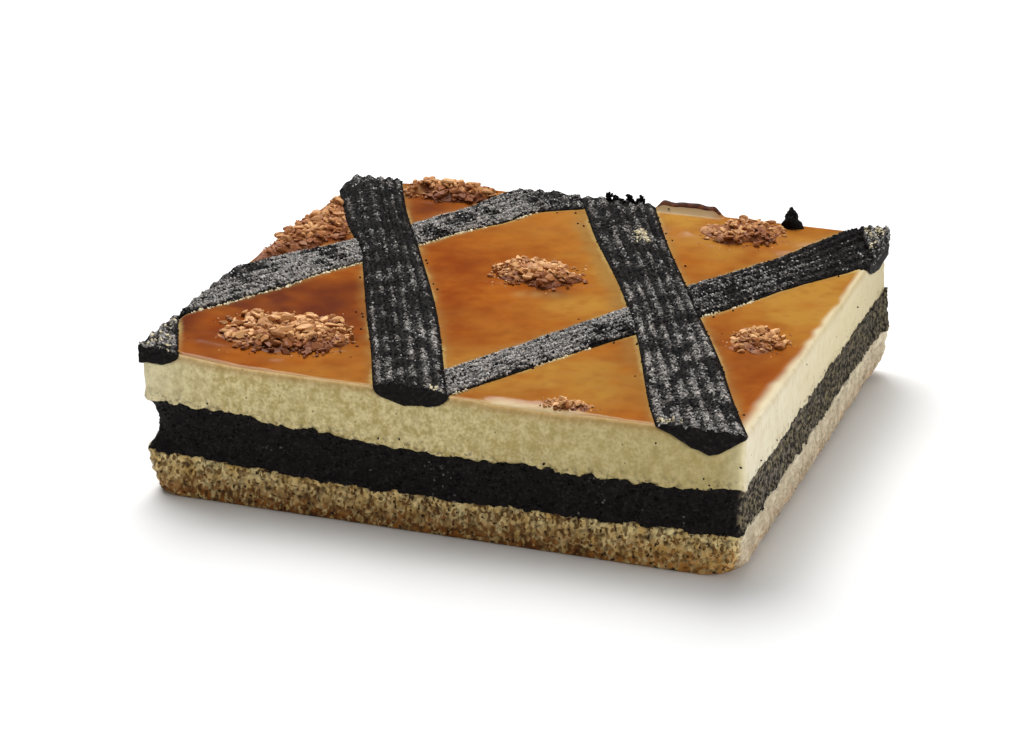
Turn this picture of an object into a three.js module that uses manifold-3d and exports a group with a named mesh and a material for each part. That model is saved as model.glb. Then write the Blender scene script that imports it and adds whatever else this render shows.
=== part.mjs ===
// A block of poppy seed cheesecake cut from a tray: a biscuit base, a poppy seed filling, a baked cheese
// layer, a lattice of ridged poppy strips sunk in its top, and heaps of chopped nuts in the lattice's panes.
// Millimetres, +Z up. The origin is on the underside, below the middle of the block. -Y is the long cut face.
import * as THREE from "three";
import { mergeVertices } from "three/addons/utils/BufferGeometryUtils.js";
import Module from "manifold-3d";

const wasm = await Module();
wasm.setup();

// The block
const WIDTH = 222; // along X
const DEPTH = 204; // along Y
const CHEESE_TOP = 53.5;
const FIT_GAP = 0.3; // between a strip and the groove that it lies in

// The layers' meeting planes, well inside the block
const BASE_TOP = 16;
const POPPY_TOP = 32;
const FLAT_INSET = 14; // how far in from the cut faces the meeting surfaces become flat
const FLAT_RADIUS = 8;

// The cut faces
const STEPS_X = 20; // points along a long face
const STEPS_Y = 18; // points along a short face
const CORNER_STEPS = 3;
const CUT_RADIUS = 2.5; // corners of the cheese and of the filling
const FOOT_RADIUS = 12; // corners of the underside
const FOOT_INSET = 3.5; // how far the underside is drawn in, on average
const FOOT_SHIFT = 1.5; // it is drawn in less at the front and at the left, by this much
const BASE_MEETS_INSET = 0.6; // where the base meets the filling
const POPPY_MEETS_INSET = 0.5; // where the filling meets the cheese
const FILLING_RECESS = 1.3; // how far the filling has shrunk back
const CRUMB = 0.6; // depth of the crumbly relief
const EDGE_RIPPLE = 0.6; // unevenness of the meeting edges

// How far a meeting edge at the cut faces dips below its plane, and how far it rises to the ends and the back
const BASE_DIP = 1.2;
const BASE_RISE_ENDS = 2.4;
const BASE_RISE_BACK = 2.2;
const POPPY_DIP = 0.6;
const POPPY_RISE_LEFT = 5.5;
const POPPY_RISE_RIGHT = 2.2;

// The cheese's upper edge, and the rim that stands up along the tray's wall at the left and the back
const TOP_EDGE_DROP = 2.2;
const TOP_EDGE_INSET = 2.6;
const RIM_HEIGHT = 2.5;
const RIM_FADE_LEFT = [0, 80]; // along Y, where the left rim sinks into the top
const RIM_FADE_BACK = [-110, -60]; // along X, where the back rim rises
const FLAKE = { x: 31, reach: 15, height: 2.8 }; // a stretch of the back rim that has lifted

// The poppy strips
const STRIP_PROUD = 1.0; // crown above the cheese
const RIDGE_HEIGHT = 0.5;
const RIDGES = 6;
const LENS_STEPS = 6; // sides of the sunk underside
const STRIP_DEPTH = 8.5;
const STRIP_STEP = 18; // length of one stretch of a strip
const STRIP_REACH = 168; // half length before it is cut at the block's faces
const CROSSING_LIFT = 1.2; // how far an upper strip rises over a lower one
const CROSSING_THIN = 3; // how much shallower it is sunk there
const CROSSING_SPAN = 17; // half length of that rise
const CUTTER_HEIGHT = 8;
const STRIP_WANDER = 0.7; // how far a strip's middle wanders from its straight line
const STRIP_WAVE = 38;
const WIDTH_WANDER = 0.05; // share by which its width changes
const WIDTH_WAVE = 27;

// The upper strips, left to right, and the lower ones, back to front. The angle is counted from +X,
// and the offset is from the middle of the block, to the right. Each flare is a stretch where one edge, -1 for
// the left and 1 for the right, moves out, or in where it is negative: from where to where along the strip,
// and by how much.
const UPPER_ANGLE = 114.5;
const LOWER_ANGLE = 60.5;
const UPPER_STRIPS = [
  { name: "poppy_strip_left_corner", offset: -141.5, width: 24, flares: [] },
  {
    name: "poppy_strip_left",
    offset: -49.8,
    width: 23,
    flares: [
      [1, 60, -60, 2.2],
      [-1, -40, -90, 1.3],
      [-1, 45, 90, 4],
      [1, 60, 100, -1.5],
    ],
  },
  {
    name: "poppy_strip_right",
    offset: 45.9,
    width: 23.5,
    flares: [
      [-1, -40, -118, 4],
      [1, -10, -85, 3],
      [-1, -25, 72, 4.6],
    ],
  },
  { name: "poppy_strip_right_corner", offset: 140, width: 17, flares: [] },
];
const LOWER_STRIPS = [
  {
    name: "poppy_strip_cross_back",
    offset: -75.4,
    width: 22,
    flares: [
      [1, 54, 82, 14],
      [-1, 42, 28, 3],
      [1, -72, -42, -4.5],
      [1, 22, 52, 4.5],
      [1, -72, -95, 2],
    ],
  },
  {
    name: "poppy_strip_cross_front",
    offset: 45.6,
    width: 23,
    flares: [
      [1, 80, 135, 6],
      [1, 30, -10, -3.8],
      [1, 30, 50, 1.8],
      [-1, 35, 55, 1.6],
    ],
  },
];

// The nut heaps: middle, half length and half width of the patch that each covers, and the height of its core
const HEAP_CORE = 0.8; // the core's share of the patch
const NUT_SIZE = 3.2; // half length of an average chopped piece
const NUT_SPACING = 8;
const HEAPS = [
  { name: "nut_heap_middle", x: -4, y: 20, rx: 17, ry: 14.5, height: 4.5 },
  { name: "nut_heap_front_left", x: -69, y: -67, rx: 25, ry: 20.5, height: 3.2 },
  { name: "nut_heap_right", x: 92, y: -17, rx: 10, ry: 11.5, height: 3.2 },
  { name: "nut_heap_back_right", x: 57, y: 86, rx: 17, ry: 13, height: 3.6 },
  { name: "nut_heap_back_left", x: -63, y: 93, rx: 23, ry: 7.5, height: 4.2 },
  { name: "nut_heap_front", x: 46.5, y: -95, rx: 9, ry: 4.5, height: 2.4 },
  { name: "nut_heap_left", x: -104, y: 38, rx: 10, ry: 52, height: 3.2 },
];

// A lump of poppy filling that stands on the back edge
const LUMP = { x: 73.5, y: 97.5, width: 8, height: 7, lean: -0.8 };

const COLOURS = {
  base: 0xb08a55,
  poppy: 0x1c1917,
  cheese: 0xe6d8a8,
  nut: 0xc99258,
};

// Seeded random numbers from 0 to 1.
function randomFrom(seed) {
  let state = seed;
  return () => {
    state = (state + 0x6d2b79f5) | 0;
    let t = Math.imul(state ^ (state >>> 15), 1 | state);
    t = (t + Math.imul(t ^ (t >>> 7), 61 | t)) ^ t;
    return ((t ^ (t >>> 14)) >>> 0) / 4294967296;
  };
}

// A closed triangle mesh as a solid that can be joined and cut.
function toSolid(geometry) {
  const bare = geometry.clone();
  bare.deleteAttribute("normal");
  bare.deleteAttribute("uv");
  const merged = mergeVertices(bare, 1e-4);
  return new wasm.Manifold(
    new wasm.Mesh({
      numProp: 3,
      vertProperties: new Float32Array(merged.attributes.position.array),
      triVerts: new Uint32Array(merged.index.array),
    }),
  );
}

function toGeometry(solid) {
  const mesh = solid.getMesh();
  const geometry = new THREE.BufferGeometry();
  geometry.setAttribute("position", new THREE.BufferAttribute(mesh.vertProperties, 3));
  geometry.setIndex(new THREE.BufferAttribute(mesh.triVerts, 1));
  geometry.computeVertexNormals();
  return geometry;
}

// The largest body of a solid, without any loose scrap.
function largestBody(solid) {
  return solid.decompose().reduce((a, b) => (b.volume() > a.volume() ? b : a));
}

function geometryFrom(points, triangles) {
  const geometry = new THREE.BufferGeometry().setFromPoints(points);
  geometry.setIndex(triangles);
  return geometry;
}

const { clamp, degToRad, lerp, smoothstep } = THREE.MathUtils;

// The corners' signs, anticlockwise from the front right one
const CORNERS = [
  [1, -1],
  [1, 1],
  [-1, 1],
  [-1, -1],
];

// One ring of points round the block, anticlockwise from above, at an inset for each point.
function outline(insetAt, radius) {
  const points = [];
  const arcPoint = (corner, share) => {
    const inset = insetAt(points.length);
    const [sx, sy] = CORNERS[corner % 4];
    const angle = ((corner - 1 + share) * Math.PI) / 2;
    return new THREE.Vector2(
      sx * (WIDTH / 2 - inset - radius) + radius * Math.cos(angle),
      sy * (DEPTH / 2 - inset - radius) + radius * Math.sin(angle),
    );
  };
  for (let corner = 0; corner < 4; corner++) {
    for (let i = 0; i <= CORNER_STEPS; i++) points.push(arcPoint(corner, i / CORNER_STEPS));
    const steps = corner % 2 === 0 ? STEPS_Y : STEPS_X;
    for (let i = 1; i < steps; i++) {
      const from = arcPoint(corner, 1);
      points.push(from.lerp(arcPoint(corner + 1, 0), i / steps));
    }
  }
  return points;
}

// A layer between a lower and an upper meeting surface. Each row is a ring of points of the cut faces, and
// the first and last rows close over a flat inner ring at the heights given.
function layer(rows, lowerFlat, upperFlat) {
  const flat = outline(() => FLAT_INSET, FLAT_RADIUS);
  const rings = [
    flat.map((p) => new THREE.Vector3(p.x, p.y, lowerFlat)),
    ...rows,
    flat.map((p) => new THREE.Vector3(p.x, p.y, upperFlat)),
  ];
  const count = flat.length;
  const triangles = [];
  for (let r = 0; r + 1 < rings.length; r++) {
    const closesTop = r + 2 === rings.length;
    for (let i = 0; i < count; i++) {
      const a = r * count + i;
      const b = r * count + ((i + 1) % count);
      const c = a + count;
      const d = b + count;
      // The same diagonal on both sides of a meeting surface, so that two layers share it
      if (closesTop) triangles.push(a, b, c, b, d, c);
      else triangles.push(a, b, d, a, d, c);
    }
  }
  const cap = THREE.ShapeUtils.triangulateShape(flat, []);
  const last = (rings.length - 1) * count;
  for (const [a, b, c] of cap) triangles.push(a, c, b, last + a, last + b, last + c);
  return geometryFrom(rings.flat(), triangles);
}

// A ring of a cut face: its height and its inset are functions of the place and the point's number.
function row(heightAt, insetAt, radius) {
  return outline(insetAt, radius).map((p, i) => new THREE.Vector3(p.x, p.y, heightAt(p, i)));
}

// Uneven numbers from -1 to 1, one for each point of a ring.
function crumbs(seed) {
  const random = randomFrom(seed);
  const count = 2 * (STEPS_X + STEPS_Y) + 4 * CORNER_STEPS;
  return Array.from({ length: count }, () => 2 * random() - 1);
}

const BASE_EDGE = crumbs(11);
const POPPY_EDGE = crumbs(12);

// Where the base meets the filling, at the cut faces: low in the middle of the long face.
function baseTopAt(p, i) {
  const ends = BASE_RISE_ENDS * (p.x / (WIDTH / 2)) ** 2;
  const back = BASE_RISE_BACK * Math.max(0, p.y / (DEPTH / 2)) ** 2;
  return BASE_TOP - BASE_DIP + ends + back + EDGE_RIPPLE * BASE_EDGE[i];
}

// Where the filling meets the cheese, at the cut faces: it rises to the left end.
function poppyTopAt(p, i) {
  const left = POPPY_RISE_LEFT * smoothstep(-p.x / (WIDTH / 2), 0, 1);
  const right = POPPY_RISE_RIGHT * smoothstep(p.x / (WIDTH / 2), 0.75, 1);
  return POPPY_TOP - POPPY_DIP + left + right + EDGE_RIPPLE * POPPY_EDGE[i];
}

// The height of the cheese's top: flat, with a rim along the left and the back.
function topAt(x, y) {
  const nearness = (inset) => clamp((FLAT_INSET - inset) / (FLAT_INSET - TOP_EDGE_INSET), 0, 1);
  const left = nearness(x + WIDTH / 2) * (1 - smoothstep(y, ...RIM_FADE_LEFT));
  const back = nearness(DEPTH / 2 - y) * smoothstep(x, ...RIM_FADE_BACK);
  const flake = nearness(DEPTH / 2 - y) * (1 - smoothstep(Math.abs(x - FLAKE.x), 0.6 * FLAKE.reach, FLAKE.reach));
  return CHEESE_TOP + RIM_HEIGHT * Math.max(left, back) + FLAKE.height * flake;
}

const baseMeets = row(baseTopAt, () => BASE_MEETS_INSET, CUT_RADIUS);
const poppyMeets = row(poppyTopAt, () => POPPY_MEETS_INSET, CUT_RADIUS);

// A row part of the way up a cut face, between two meeting edges.
function between(lower, upper, share, inset, relief, seed, radius) {
  const uneven = crumbs(seed);
  const ring = outline((i) => inset + relief * uneven[i], radius);
  return ring.map((p, i) => {
    return new THREE.Vector3(p.x, p.y, lerp(lower[i].z, upper[i].z, share));
  });
}

function biscuitBase() {
  const foot = row(() => 0, () => FOOT_INSET, FOOT_RADIUS);
  for (const p of foot) p.set(p.x - FOOT_SHIFT, p.y - FOOT_SHIFT, 0);
  const rows = [
    foot,
    between(foot, baseMeets, 0.16, 0.45 * FOOT_INSET, CRUMB, 21, 0.8 * FOOT_RADIUS),
    between(foot, baseMeets, 0.5, 0.2 * FOOT_INSET, CRUMB, 22, 0.5 * FOOT_RADIUS),
    between(foot, baseMeets, 0.8, 0.9, CRUMB, 23, 1.4 * CUT_RADIUS),
    baseMeets,
  ];
  return layer(rows, 0, BASE_TOP);
}

function poppyFilling() {
  const rows = [
    baseMeets,
    between(baseMeets, poppyMeets, 0.2, FILLING_RECESS, CRUMB, 31, CUT_RADIUS),
    between(baseMeets, poppyMeets, 0.55, 1.2 * FILLING_RECESS, 1.3 * CRUMB, 32, CUT_RADIUS),
    between(baseMeets, poppyMeets, 0.85, FILLING_RECESS, CRUMB, 33, CUT_RADIUS),
    poppyMeets,
  ];
  return layer(rows, BASE_TOP, POPPY_TOP);
}

function cheeseBlock() {
  const edgeRow = (drop, inset) => row((p) => topAt(p.x, p.y) - drop, () => inset, CUT_RADIUS);
  const top = edgeRow(0, TOP_EDGE_INSET);
  const shoulder = edgeRow(0.3 * TOP_EDGE_DROP, 0.4 * TOP_EDGE_INSET);
  const side = edgeRow(TOP_EDGE_DROP, 0.1 * TOP_EDGE_INSET);
  const rows = [
    poppyMeets,
    between(poppyMeets, side, 0.35, 0.6, 0.4 * CRUMB, 41, CUT_RADIUS),
    between(poppyMeets, side, 0.7, 0.5, 0.4 * CRUMB, 42, CUT_RADIUS),
    side,
    shoulder,
    top,
  ];
  return layer(rows, POPPY_TOP, CHEESE_TOP);
}

// A strip's line: its direction, its normal to the right, and how it changes along its length.
function stripLine(strip, angleDegrees, crossings, seed) {
  const angle = degToRad(angleDegrees);
  const along = new THREE.Vector2(Math.cos(angle), Math.sin(angle));
  const across = new THREE.Vector2(along.y, -along.x);
  const phase = randomFrom(seed)() * 2 * Math.PI;
  const riseAt = (t) => {
    const nearest = Math.min(...crossings.map((crossing) => Math.abs(t - crossing)));
    return 1 - smoothstep(nearest, 0.5 * CROSSING_SPAN, CROSSING_SPAN);
  };
  return {
    along,
    across,
    stations: stations(along, across.clone().multiplyScalar(strip.offset)),
    offsetAt: (t) => strip.offset + STRIP_WANDER * Math.sin(t / STRIP_WAVE + phase),
    edgeAt: (t, side) => {
      const wander = 1 + WIDTH_WANDER * Math.sin(t / WIDTH_WAVE + 2 * phase);
      const flares = strip.flares.filter((flare) => flare[0] === side);
      const extra = flares.map(([, start, end, most]) => most * smoothstep((t - start) / (end - start), 0, 1));
      return extra.reduce((sum, part) => sum + part, (strip.width / 2) * wander);
    },
    liftAt: (t) => CROSSING_LIFT * riseAt(t),
    depthAt: (t) => STRIP_DEPTH - CROSSING_THIN * riseAt(t),
  };
}

// Where a strip's sections stand along its line: at even steps, and where it starts and ends to climb a rim.
function stations(along, foot) {
  const places = [];
  for (let t = -STRIP_REACH; t <= STRIP_REACH; t += STRIP_STEP) places.push(t);
  for (const inset of [TOP_EDGE_INSET, FLAT_INSET]) {
    places.push((DEPTH / 2 - inset - foot.y) / along.y);
    places.push((inset - WIDTH / 2 - foot.x) / along.x);
  }
  return places.filter((t) => Math.abs(t) <= STRIP_REACH).sort((a, b) => a - b);
}

// A closed loft of one section after another along a strip's line.
function loft(line, sectionAt) {
  const points = [];
  for (const t of line.stations) {
    const middle = line.across.clone().multiplyScalar(line.offsetAt(t)).addScaledVector(line.along, t);
    for (const p of sectionAt(t)) {
      const at = middle.clone().addScaledVector(line.across, p.x);
      points.push(new THREE.Vector3(at.x, at.y, topAt(at.x, at.y) + p.y));
    }
  }
  const steps = line.stations.length - 1;
  const count = points.length / (steps + 1);
  const triangles = [];
  for (let s = 0; s < steps; s++) {
    for (let i = 0; i < count; i++) {
      const a = s * count + i;
      const b = s * count + ((i + 1) % count);
      triangles.push(a, a + count, b + count, a, b + count, b);
    }
  }
  for (const [first, flip] of [
    [0, false],
    [steps * count, true],
  ]) {
    const section = points.slice(first, first + count);
    const flat = section.map((p) => new THREE.Vector2(line.across.dot(new THREE.Vector2(p.x, p.y)), p.z));
    for (const [a, b, c] of THREE.ShapeUtils.triangulateShape(flat, [])) {
      if (flip) triangles.push(first + a, first + c, first + b);
      else triangles.push(first + a, first + b, first + c);
    }
  }
  return toSolid(geometryFrom(points, triangles));
}

// The sunk underside of a strip, from its left edge to its right one.
function lens(left, right, depth) {
  const points = [];
  for (let i = LENS_STEPS; i >= 0; i--) {
    const angle = (Math.PI * i) / LENS_STEPS;
    const half = i > LENS_STEPS / 2 ? left : right;
    points.push(new THREE.Vector2(half * Math.cos(angle), -depth * Math.sin(angle)));
  }
  return points;
}

// A strip as it was piped: a low crown of ridges over the sunk underside.
function stripSolid(line) {
  return loft(line, (t) => {
    const left = line.edgeAt(t, -1);
    const right = line.edgeAt(t, 1);
    const points = lens(left, right, line.depthAt(t));
    const last = 2 * RIDGES;
    for (let i = last - 1; i > 0; i--) {
      const u = 1 - (2 * (last - i)) / last;
      const crown = (STRIP_PROUD + line.liftAt(t)) * (1 - u ** 4);
      const half = u < 0 ? left : right;
      points.push(new THREE.Vector2(half * u, crown + (i % 2 ? RIDGE_HEIGHT : 0)));
    }
    return points;
  });
}

// The groove that a strip leaves in what it lies on.
function grooveCutter(line) {
  return loft(line, (t) => {
    const left = line.edgeAt(t, -1) + FIT_GAP;
    const right = line.edgeAt(t, 1) + FIT_GAP;
    const points = lens(left, right, line.depthAt(t) + FIT_GAP);
    points.push(new THREE.Vector2(right, CUTTER_HEIGHT), new THREE.Vector2(-left, CUTTER_HEIGHT));
    return points;
  });
}

// Where a strip's line meets another, counted along the first from the foot of its offset.
function crossingAlong(strip, angleDegrees, other, otherAngleDegrees) {
  const turn = degToRad(otherAngleDegrees - angleDegrees);
  return (other.offset - strip.offset * Math.cos(turn)) / Math.sin(turn);
}

// One chopped nut: an angular piece of uneven proportions, tumbled.
function choppedNut(random) {
  const size = NUT_SIZE * (0.65 + 0.6 * random());
  const nut = new THREE.OctahedronGeometry(size, 0);
  nut.scale(1, 0.55 + 0.3 * random(), 0.5 + 0.25 * random());
  nut.rotateX((random() - 0.5) * 1.6);
  nut.rotateY((random() - 0.5) * 0.9);
  nut.rotateZ(2 * Math.PI * random());
  return nut.translate(0, 0, 0.25 * size);
}

// A low dome with chopped nuts pressed into it, on the cheese's top.
function nutHeap(heap, seed) {
  const random = randomFrom(seed);
  const ground = topAt(heap.x, heap.y);
  const core = new THREE.SphereGeometry(1, 10, 4).rotateX(Math.PI / 2);
  core.scale(HEAP_CORE * heap.rx, HEAP_CORE * heap.ry, heap.height).translate(heap.x, heap.y, ground);
  const pieces = [toSolid(core)];
  const rings = 1 + Math.ceil(Math.min(heap.rx, heap.ry) / NUT_SPACING);
  for (let ring = 0; ring <= rings; ring++) {
    const share = ring / rings;
    const girth = Math.PI * share * (heap.rx + heap.ry);
    const count = Math.max(1, Math.round(girth / NUT_SPACING));
    for (let i = 0; i < count; i++) {
      const angle = (2 * Math.PI * (i + random())) / count;
      const reach = Math.min(1, share * (0.86 + 0.2 * random()));
      const x = heap.x + reach * (heap.rx - 0.6 * NUT_SIZE) * Math.cos(angle);
      const y = heap.y + reach * (heap.ry - 0.6 * NUT_SIZE) * Math.sin(angle);
      const height = heap.height * (1 - reach * reach);
      pieces.push(toSolid(choppedNut(random).translate(x, y, topAt(x, y) + height)));
    }
  }
  return setDown(pieces.reduce((a, b) => a.add(b)));
}

// A topping with its underside cut to the cheese that it lies on, and its sides to the strips beside it.
function setDown(topping) {
  const inside = topping.intersect(slabAbove(CHEESE_TOP, TOP_EDGE_INSET));
  return largestBody(subtractAll(inside, [cheeseBelow, ...upperCutters, ...lowerCutters]));
}

// The space above a height, inside the block's faces drawn in by an inset.
function slabAbove(height, inset) {
  const tall = 2 * CHEESE_TOP;
  const box = new THREE.BoxGeometry(WIDTH - 2 * inset, DEPTH - 2 * inset, tall);
  box.translate(0, 0, height + tall / 2);
  return toSolid(box);
}

// A rough lump that narrows and leans towards its tip.
function poppyLump() {
  const lump = new THREE.IcosahedronGeometry(1, 1);
  lump.scale(LUMP.width / 2, 0.4 * LUMP.width, LUMP.height);
  const place = lump.attributes.position;
  for (let i = 0; i < place.count; i++) {
    const share = Math.max(0, place.getZ(i)) / LUMP.height;
    place.setX(i, place.getX(i) * (1 - 0.5 * share) + LUMP.lean * share);
  }
  lump.translate(LUMP.x, LUMP.y, topAt(LUMP.x, LUMP.y));
  return setDown(toSolid(lump));
}

const cake = new THREE.Group();
cake.name = "poppy_seed_cheesecake";

function addPiece(name, geometry, colour, roughness) {
  const material = new THREE.MeshStandardMaterial({ color: colour, roughness, metalness: 0 });
  const mesh = new THREE.Mesh(geometry, material);
  mesh.name = name;
  cake.add(mesh);
}

const upper = UPPER_STRIPS.map((strip, i) => {
  const crossings = LOWER_STRIPS.map((other) => crossingAlong(strip, UPPER_ANGLE, other, LOWER_ANGLE));
  return { name: strip.name, line: stripLine(strip, UPPER_ANGLE, crossings, 50 + i) };
});
const lower = LOWER_STRIPS.map((strip, i) => {
  return { name: strip.name, line: stripLine(strip, LOWER_ANGLE, [Infinity], 60 + i) };
});

const subtractAll = (solid, cutters) => cutters.reduce((rest, cutter) => rest.subtract(cutter), solid);
const block = slabAbove(POPPY_TOP, 0);
const upperCutters = upper.map((strip) => grooveCutter(strip.line));
const lowerCutters = lower.map((strip) => grooveCutter(strip.line));
const cheeseWhole = toSolid(cheeseBlock());
const cheese = subtractAll(cheeseWhole, [...upperCutters, ...lowerCutters]);
const cheeseBelow = cheeseWhole.translate(0, 0, FIT_GAP);

addPiece("biscuit_base", biscuitBase(), COLOURS.base, 0.9);
addPiece("poppy_filling", poppyFilling(), COLOURS.poppy, 0.85);
addPiece("cheese_layer", toGeometry(largestBody(cheese)), COLOURS.cheese, 0.5);
for (const strip of upper) {
  addPiece(strip.name, toGeometry(stripSolid(strip.line).intersect(block)), COLOURS.poppy, 0.45);
}
for (const strip of lower) {
  const under = subtractAll(stripSolid(strip.line).intersect(block), upperCutters);
  addPiece(strip.name, toGeometry(largestBody(under)), COLOURS.poppy, 0.45);
}
HEAPS.forEach((heap, i) => {
  addPiece(heap.name, toGeometry(nutHeap(heap, 70 + i)), COLOURS.nut, 0.5);
});
addPiece("poppy_lump", toGeometry(poppyLump()), COLOURS.poppy, 0.6);

export default cake;
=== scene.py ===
# %% [markdown]
# # A block of poppy seed cheesecake
# This lesson dresses the plain solids of a cut block of cheesecake. The real thing has a crumbly biscuit
# base, a black poppy seed filling, a cream cheese layer with a browned and glazed top, a lattice of piped
# poppy strips sunk in that top, and heaps of chopped nuts. The solids are loaded first and stay the measure
# of everything. Each later cell makes one finish or one piece, in millimetres unless it says otherwise.

# %% Load the solids
import math

import bmesh
import bpy
import numpy as np
from mathutils import Matrix, Vector


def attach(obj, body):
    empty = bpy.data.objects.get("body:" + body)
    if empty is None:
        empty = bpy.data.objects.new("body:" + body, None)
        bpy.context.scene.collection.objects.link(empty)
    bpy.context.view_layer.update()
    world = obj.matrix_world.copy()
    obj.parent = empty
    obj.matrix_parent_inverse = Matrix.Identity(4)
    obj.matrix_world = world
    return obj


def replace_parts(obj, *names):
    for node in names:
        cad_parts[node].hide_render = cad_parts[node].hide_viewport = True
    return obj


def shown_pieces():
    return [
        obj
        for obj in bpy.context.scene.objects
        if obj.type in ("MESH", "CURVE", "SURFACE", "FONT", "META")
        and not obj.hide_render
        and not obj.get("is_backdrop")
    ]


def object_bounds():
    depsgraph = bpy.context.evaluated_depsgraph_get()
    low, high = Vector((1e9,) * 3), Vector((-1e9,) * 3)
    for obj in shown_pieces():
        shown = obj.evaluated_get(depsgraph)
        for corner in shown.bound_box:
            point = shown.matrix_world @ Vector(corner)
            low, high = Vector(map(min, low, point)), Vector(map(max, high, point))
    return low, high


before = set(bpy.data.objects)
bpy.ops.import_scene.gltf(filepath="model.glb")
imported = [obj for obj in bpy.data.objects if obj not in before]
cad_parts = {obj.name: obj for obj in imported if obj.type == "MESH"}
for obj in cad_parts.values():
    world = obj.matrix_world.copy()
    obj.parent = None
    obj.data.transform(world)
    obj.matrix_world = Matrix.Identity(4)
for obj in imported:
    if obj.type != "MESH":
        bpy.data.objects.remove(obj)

MM = 0.001  # Blender works in metres, and food is easier to think of in millimetres
cad_low, cad_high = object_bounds()
WIDTH = (cad_high.x - cad_low.x) / MM
DEPTH = (cad_high.y - cad_low.y) / MM
HALF = np.array([WIDTH, DEPTH]) / 2
print(f"block {WIDTH:.0f} by {DEPTH:.0f} mm, {len(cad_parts)} solids")

# %% [markdown]
# ## The camera
# A long lens from well back keeps the block's edges nearly parallel, as a food photographer would. The
# viewing direction is given by two angles. The camera stands that way from the block's foot, moved a little
# sideways and up in its own picture plane, so the block sits where it should without any lens shift.

# %% Camera
AZIMUTH = math.radians(19.44)
ELEVATION = math.radians(22.30)
DISTANCE = 1237.8
SIDE_STEP = -7.05
UP_STEP = 21.22
LENS = 115.76
SENSOR = 36.0
NEAREST = 10.0  # the camera sees nothing that is closer

backwards = Vector((
    math.sin(AZIMUTH) * math.cos(ELEVATION),
    -math.cos(AZIMUTH) * math.cos(ELEVATION),
    math.sin(ELEVATION),
))
rightwards = Vector((math.cos(AZIMUTH), math.sin(AZIMUTH), 0))
upwards = backwards.cross(rightwards)
camera = bpy.data.objects.new("camera", bpy.data.cameras.new("camera"))
bpy.context.collection.objects.link(camera)
turn = Matrix((rightwards, upwards, backwards)).transposed().to_4x4()
place = (backwards * DISTANCE + rightwards * SIDE_STEP + upwards * UP_STEP) * MM
camera.matrix_world = Matrix.Translation(place) @ turn
camera.data.lens = LENS
camera.data.sensor_width = SENSOR
camera.data.clip_start = NEAREST * MM
bpy.context.scene.camera = camera
print("camera at", [round(v, 3) for v in place])

# %% [markdown]
# ## The floor
# The floor is a plain white sheet, large enough that its edge never shows. It is matt, so it gives the front
# face soft light from below and takes a soft shadow.

# %% Floor
FLOOR_SIZE = 14.0  # metres
FLOOR_PAINT = {"Base Color": (0.9, 0.9, 0.9, 1), "Roughness": 0.9, "Specular IOR Level": 0.1}

bpy.ops.mesh.primitive_plane_add(size=FLOOR_SIZE)
floor = bpy.context.object
floor.name = "floor"
floor_paint = bpy.data.materials.new("white_floor")
floor_paint.use_nodes = True
floor_shader = floor_paint.node_tree.nodes["Principled BSDF"]
for socket, value in FLOOR_PAINT.items():
    floor_shader.inputs[socket].default_value = value
floor.data.materials.append(floor_paint)
floor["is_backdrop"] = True
print("floor", FLOOR_SIZE, "m wide")

# %% [markdown]
# ## The light
# The key light is a softbox high at the left and back, so soft shade falls to the right and the front, and
# the long face is lit mostly by the floor. A second softbox, low at the right, lifts the short face. A third,
# behind the block, makes glints on wet seeds. The sky is dim near the horizon: a glossy top seen at a low
# angle mirrors that part of it, and would turn milky otherwise.

# %% Light
CHEESE_TOP = 53.5
# Softboxes: place and size in metres, and power in watts
SOFTBOXES = {
    "key": ((-0.5, 0.55, 1.45), (1.3, 1.3), 33),
    "right_fill": ((1.45, -0.2, 0.4), (1.0, 0.6), 9.5),
    "back_glint": ((-0.42, 1.16, 1.08), (1.2, 0.25), 5),
}
SKY_TURN = (0.25, 0.8)  # the sky brightens between these heights of its dome
SKY_STRENGTHS = (0.07, 0.3)
RANGE_SOCKETS = ("From Min", "From Max", "To Min", "To Max")


def softbox(name, place, size, power):
    """An area light that faces the middle of the cheese's top."""
    lamp = bpy.data.lights.new(name, "AREA")
    lamp.shape = "RECTANGLE"
    lamp.size, lamp.size_y = size
    lamp.energy = power
    light = bpy.data.objects.new(name, lamp)
    bpy.context.collection.objects.link(light)
    light.location = place
    aim = Vector((0, 0, CHEESE_TOP * MM)) - light.location
    light.rotation_euler = aim.to_track_quat("-Z", "Y").to_euler()


for name, values in SOFTBOXES.items():
    softbox(name, *values)

world = bpy.data.worlds.new("studio")
world.use_nodes = True
bpy.context.scene.world = world
sky = world.node_tree
direction = sky.nodes.new("ShaderNodeTexCoord").outputs["Generated"]
height = sky.nodes.new("ShaderNodeSeparateXYZ")
sky.links.new(direction, height.inputs["Vector"])
brightness = sky.nodes.new("ShaderNodeMapRange")
for socket, value in zip(RANGE_SOCKETS, SKY_TURN + SKY_STRENGTHS):
    brightness.inputs[socket].default_value = value
sky.links.new(height.outputs["Z"], brightness.inputs["Value"])
sky.links.new(brightness.outputs["Result"], sky.nodes["Background"].inputs["Strength"])
sky.nodes["Background"].inputs["Color"].default_value = (1, 1, 1, 1)
bpy.context.scene.view_settings.view_transform = "Standard"
print("a sky and", len(bpy.data.lights), "softboxes")

# %% [markdown]
# ## The block's form
# The solids were drawn from a few rules, and the dressed pieces follow the same ones: how high the cheese's
# top stands at any place, with its rim along the left and the back, and where the layers meet at the cut
# faces. Written as functions of x and y, the rules can be asked for any number of points at once.

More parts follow.
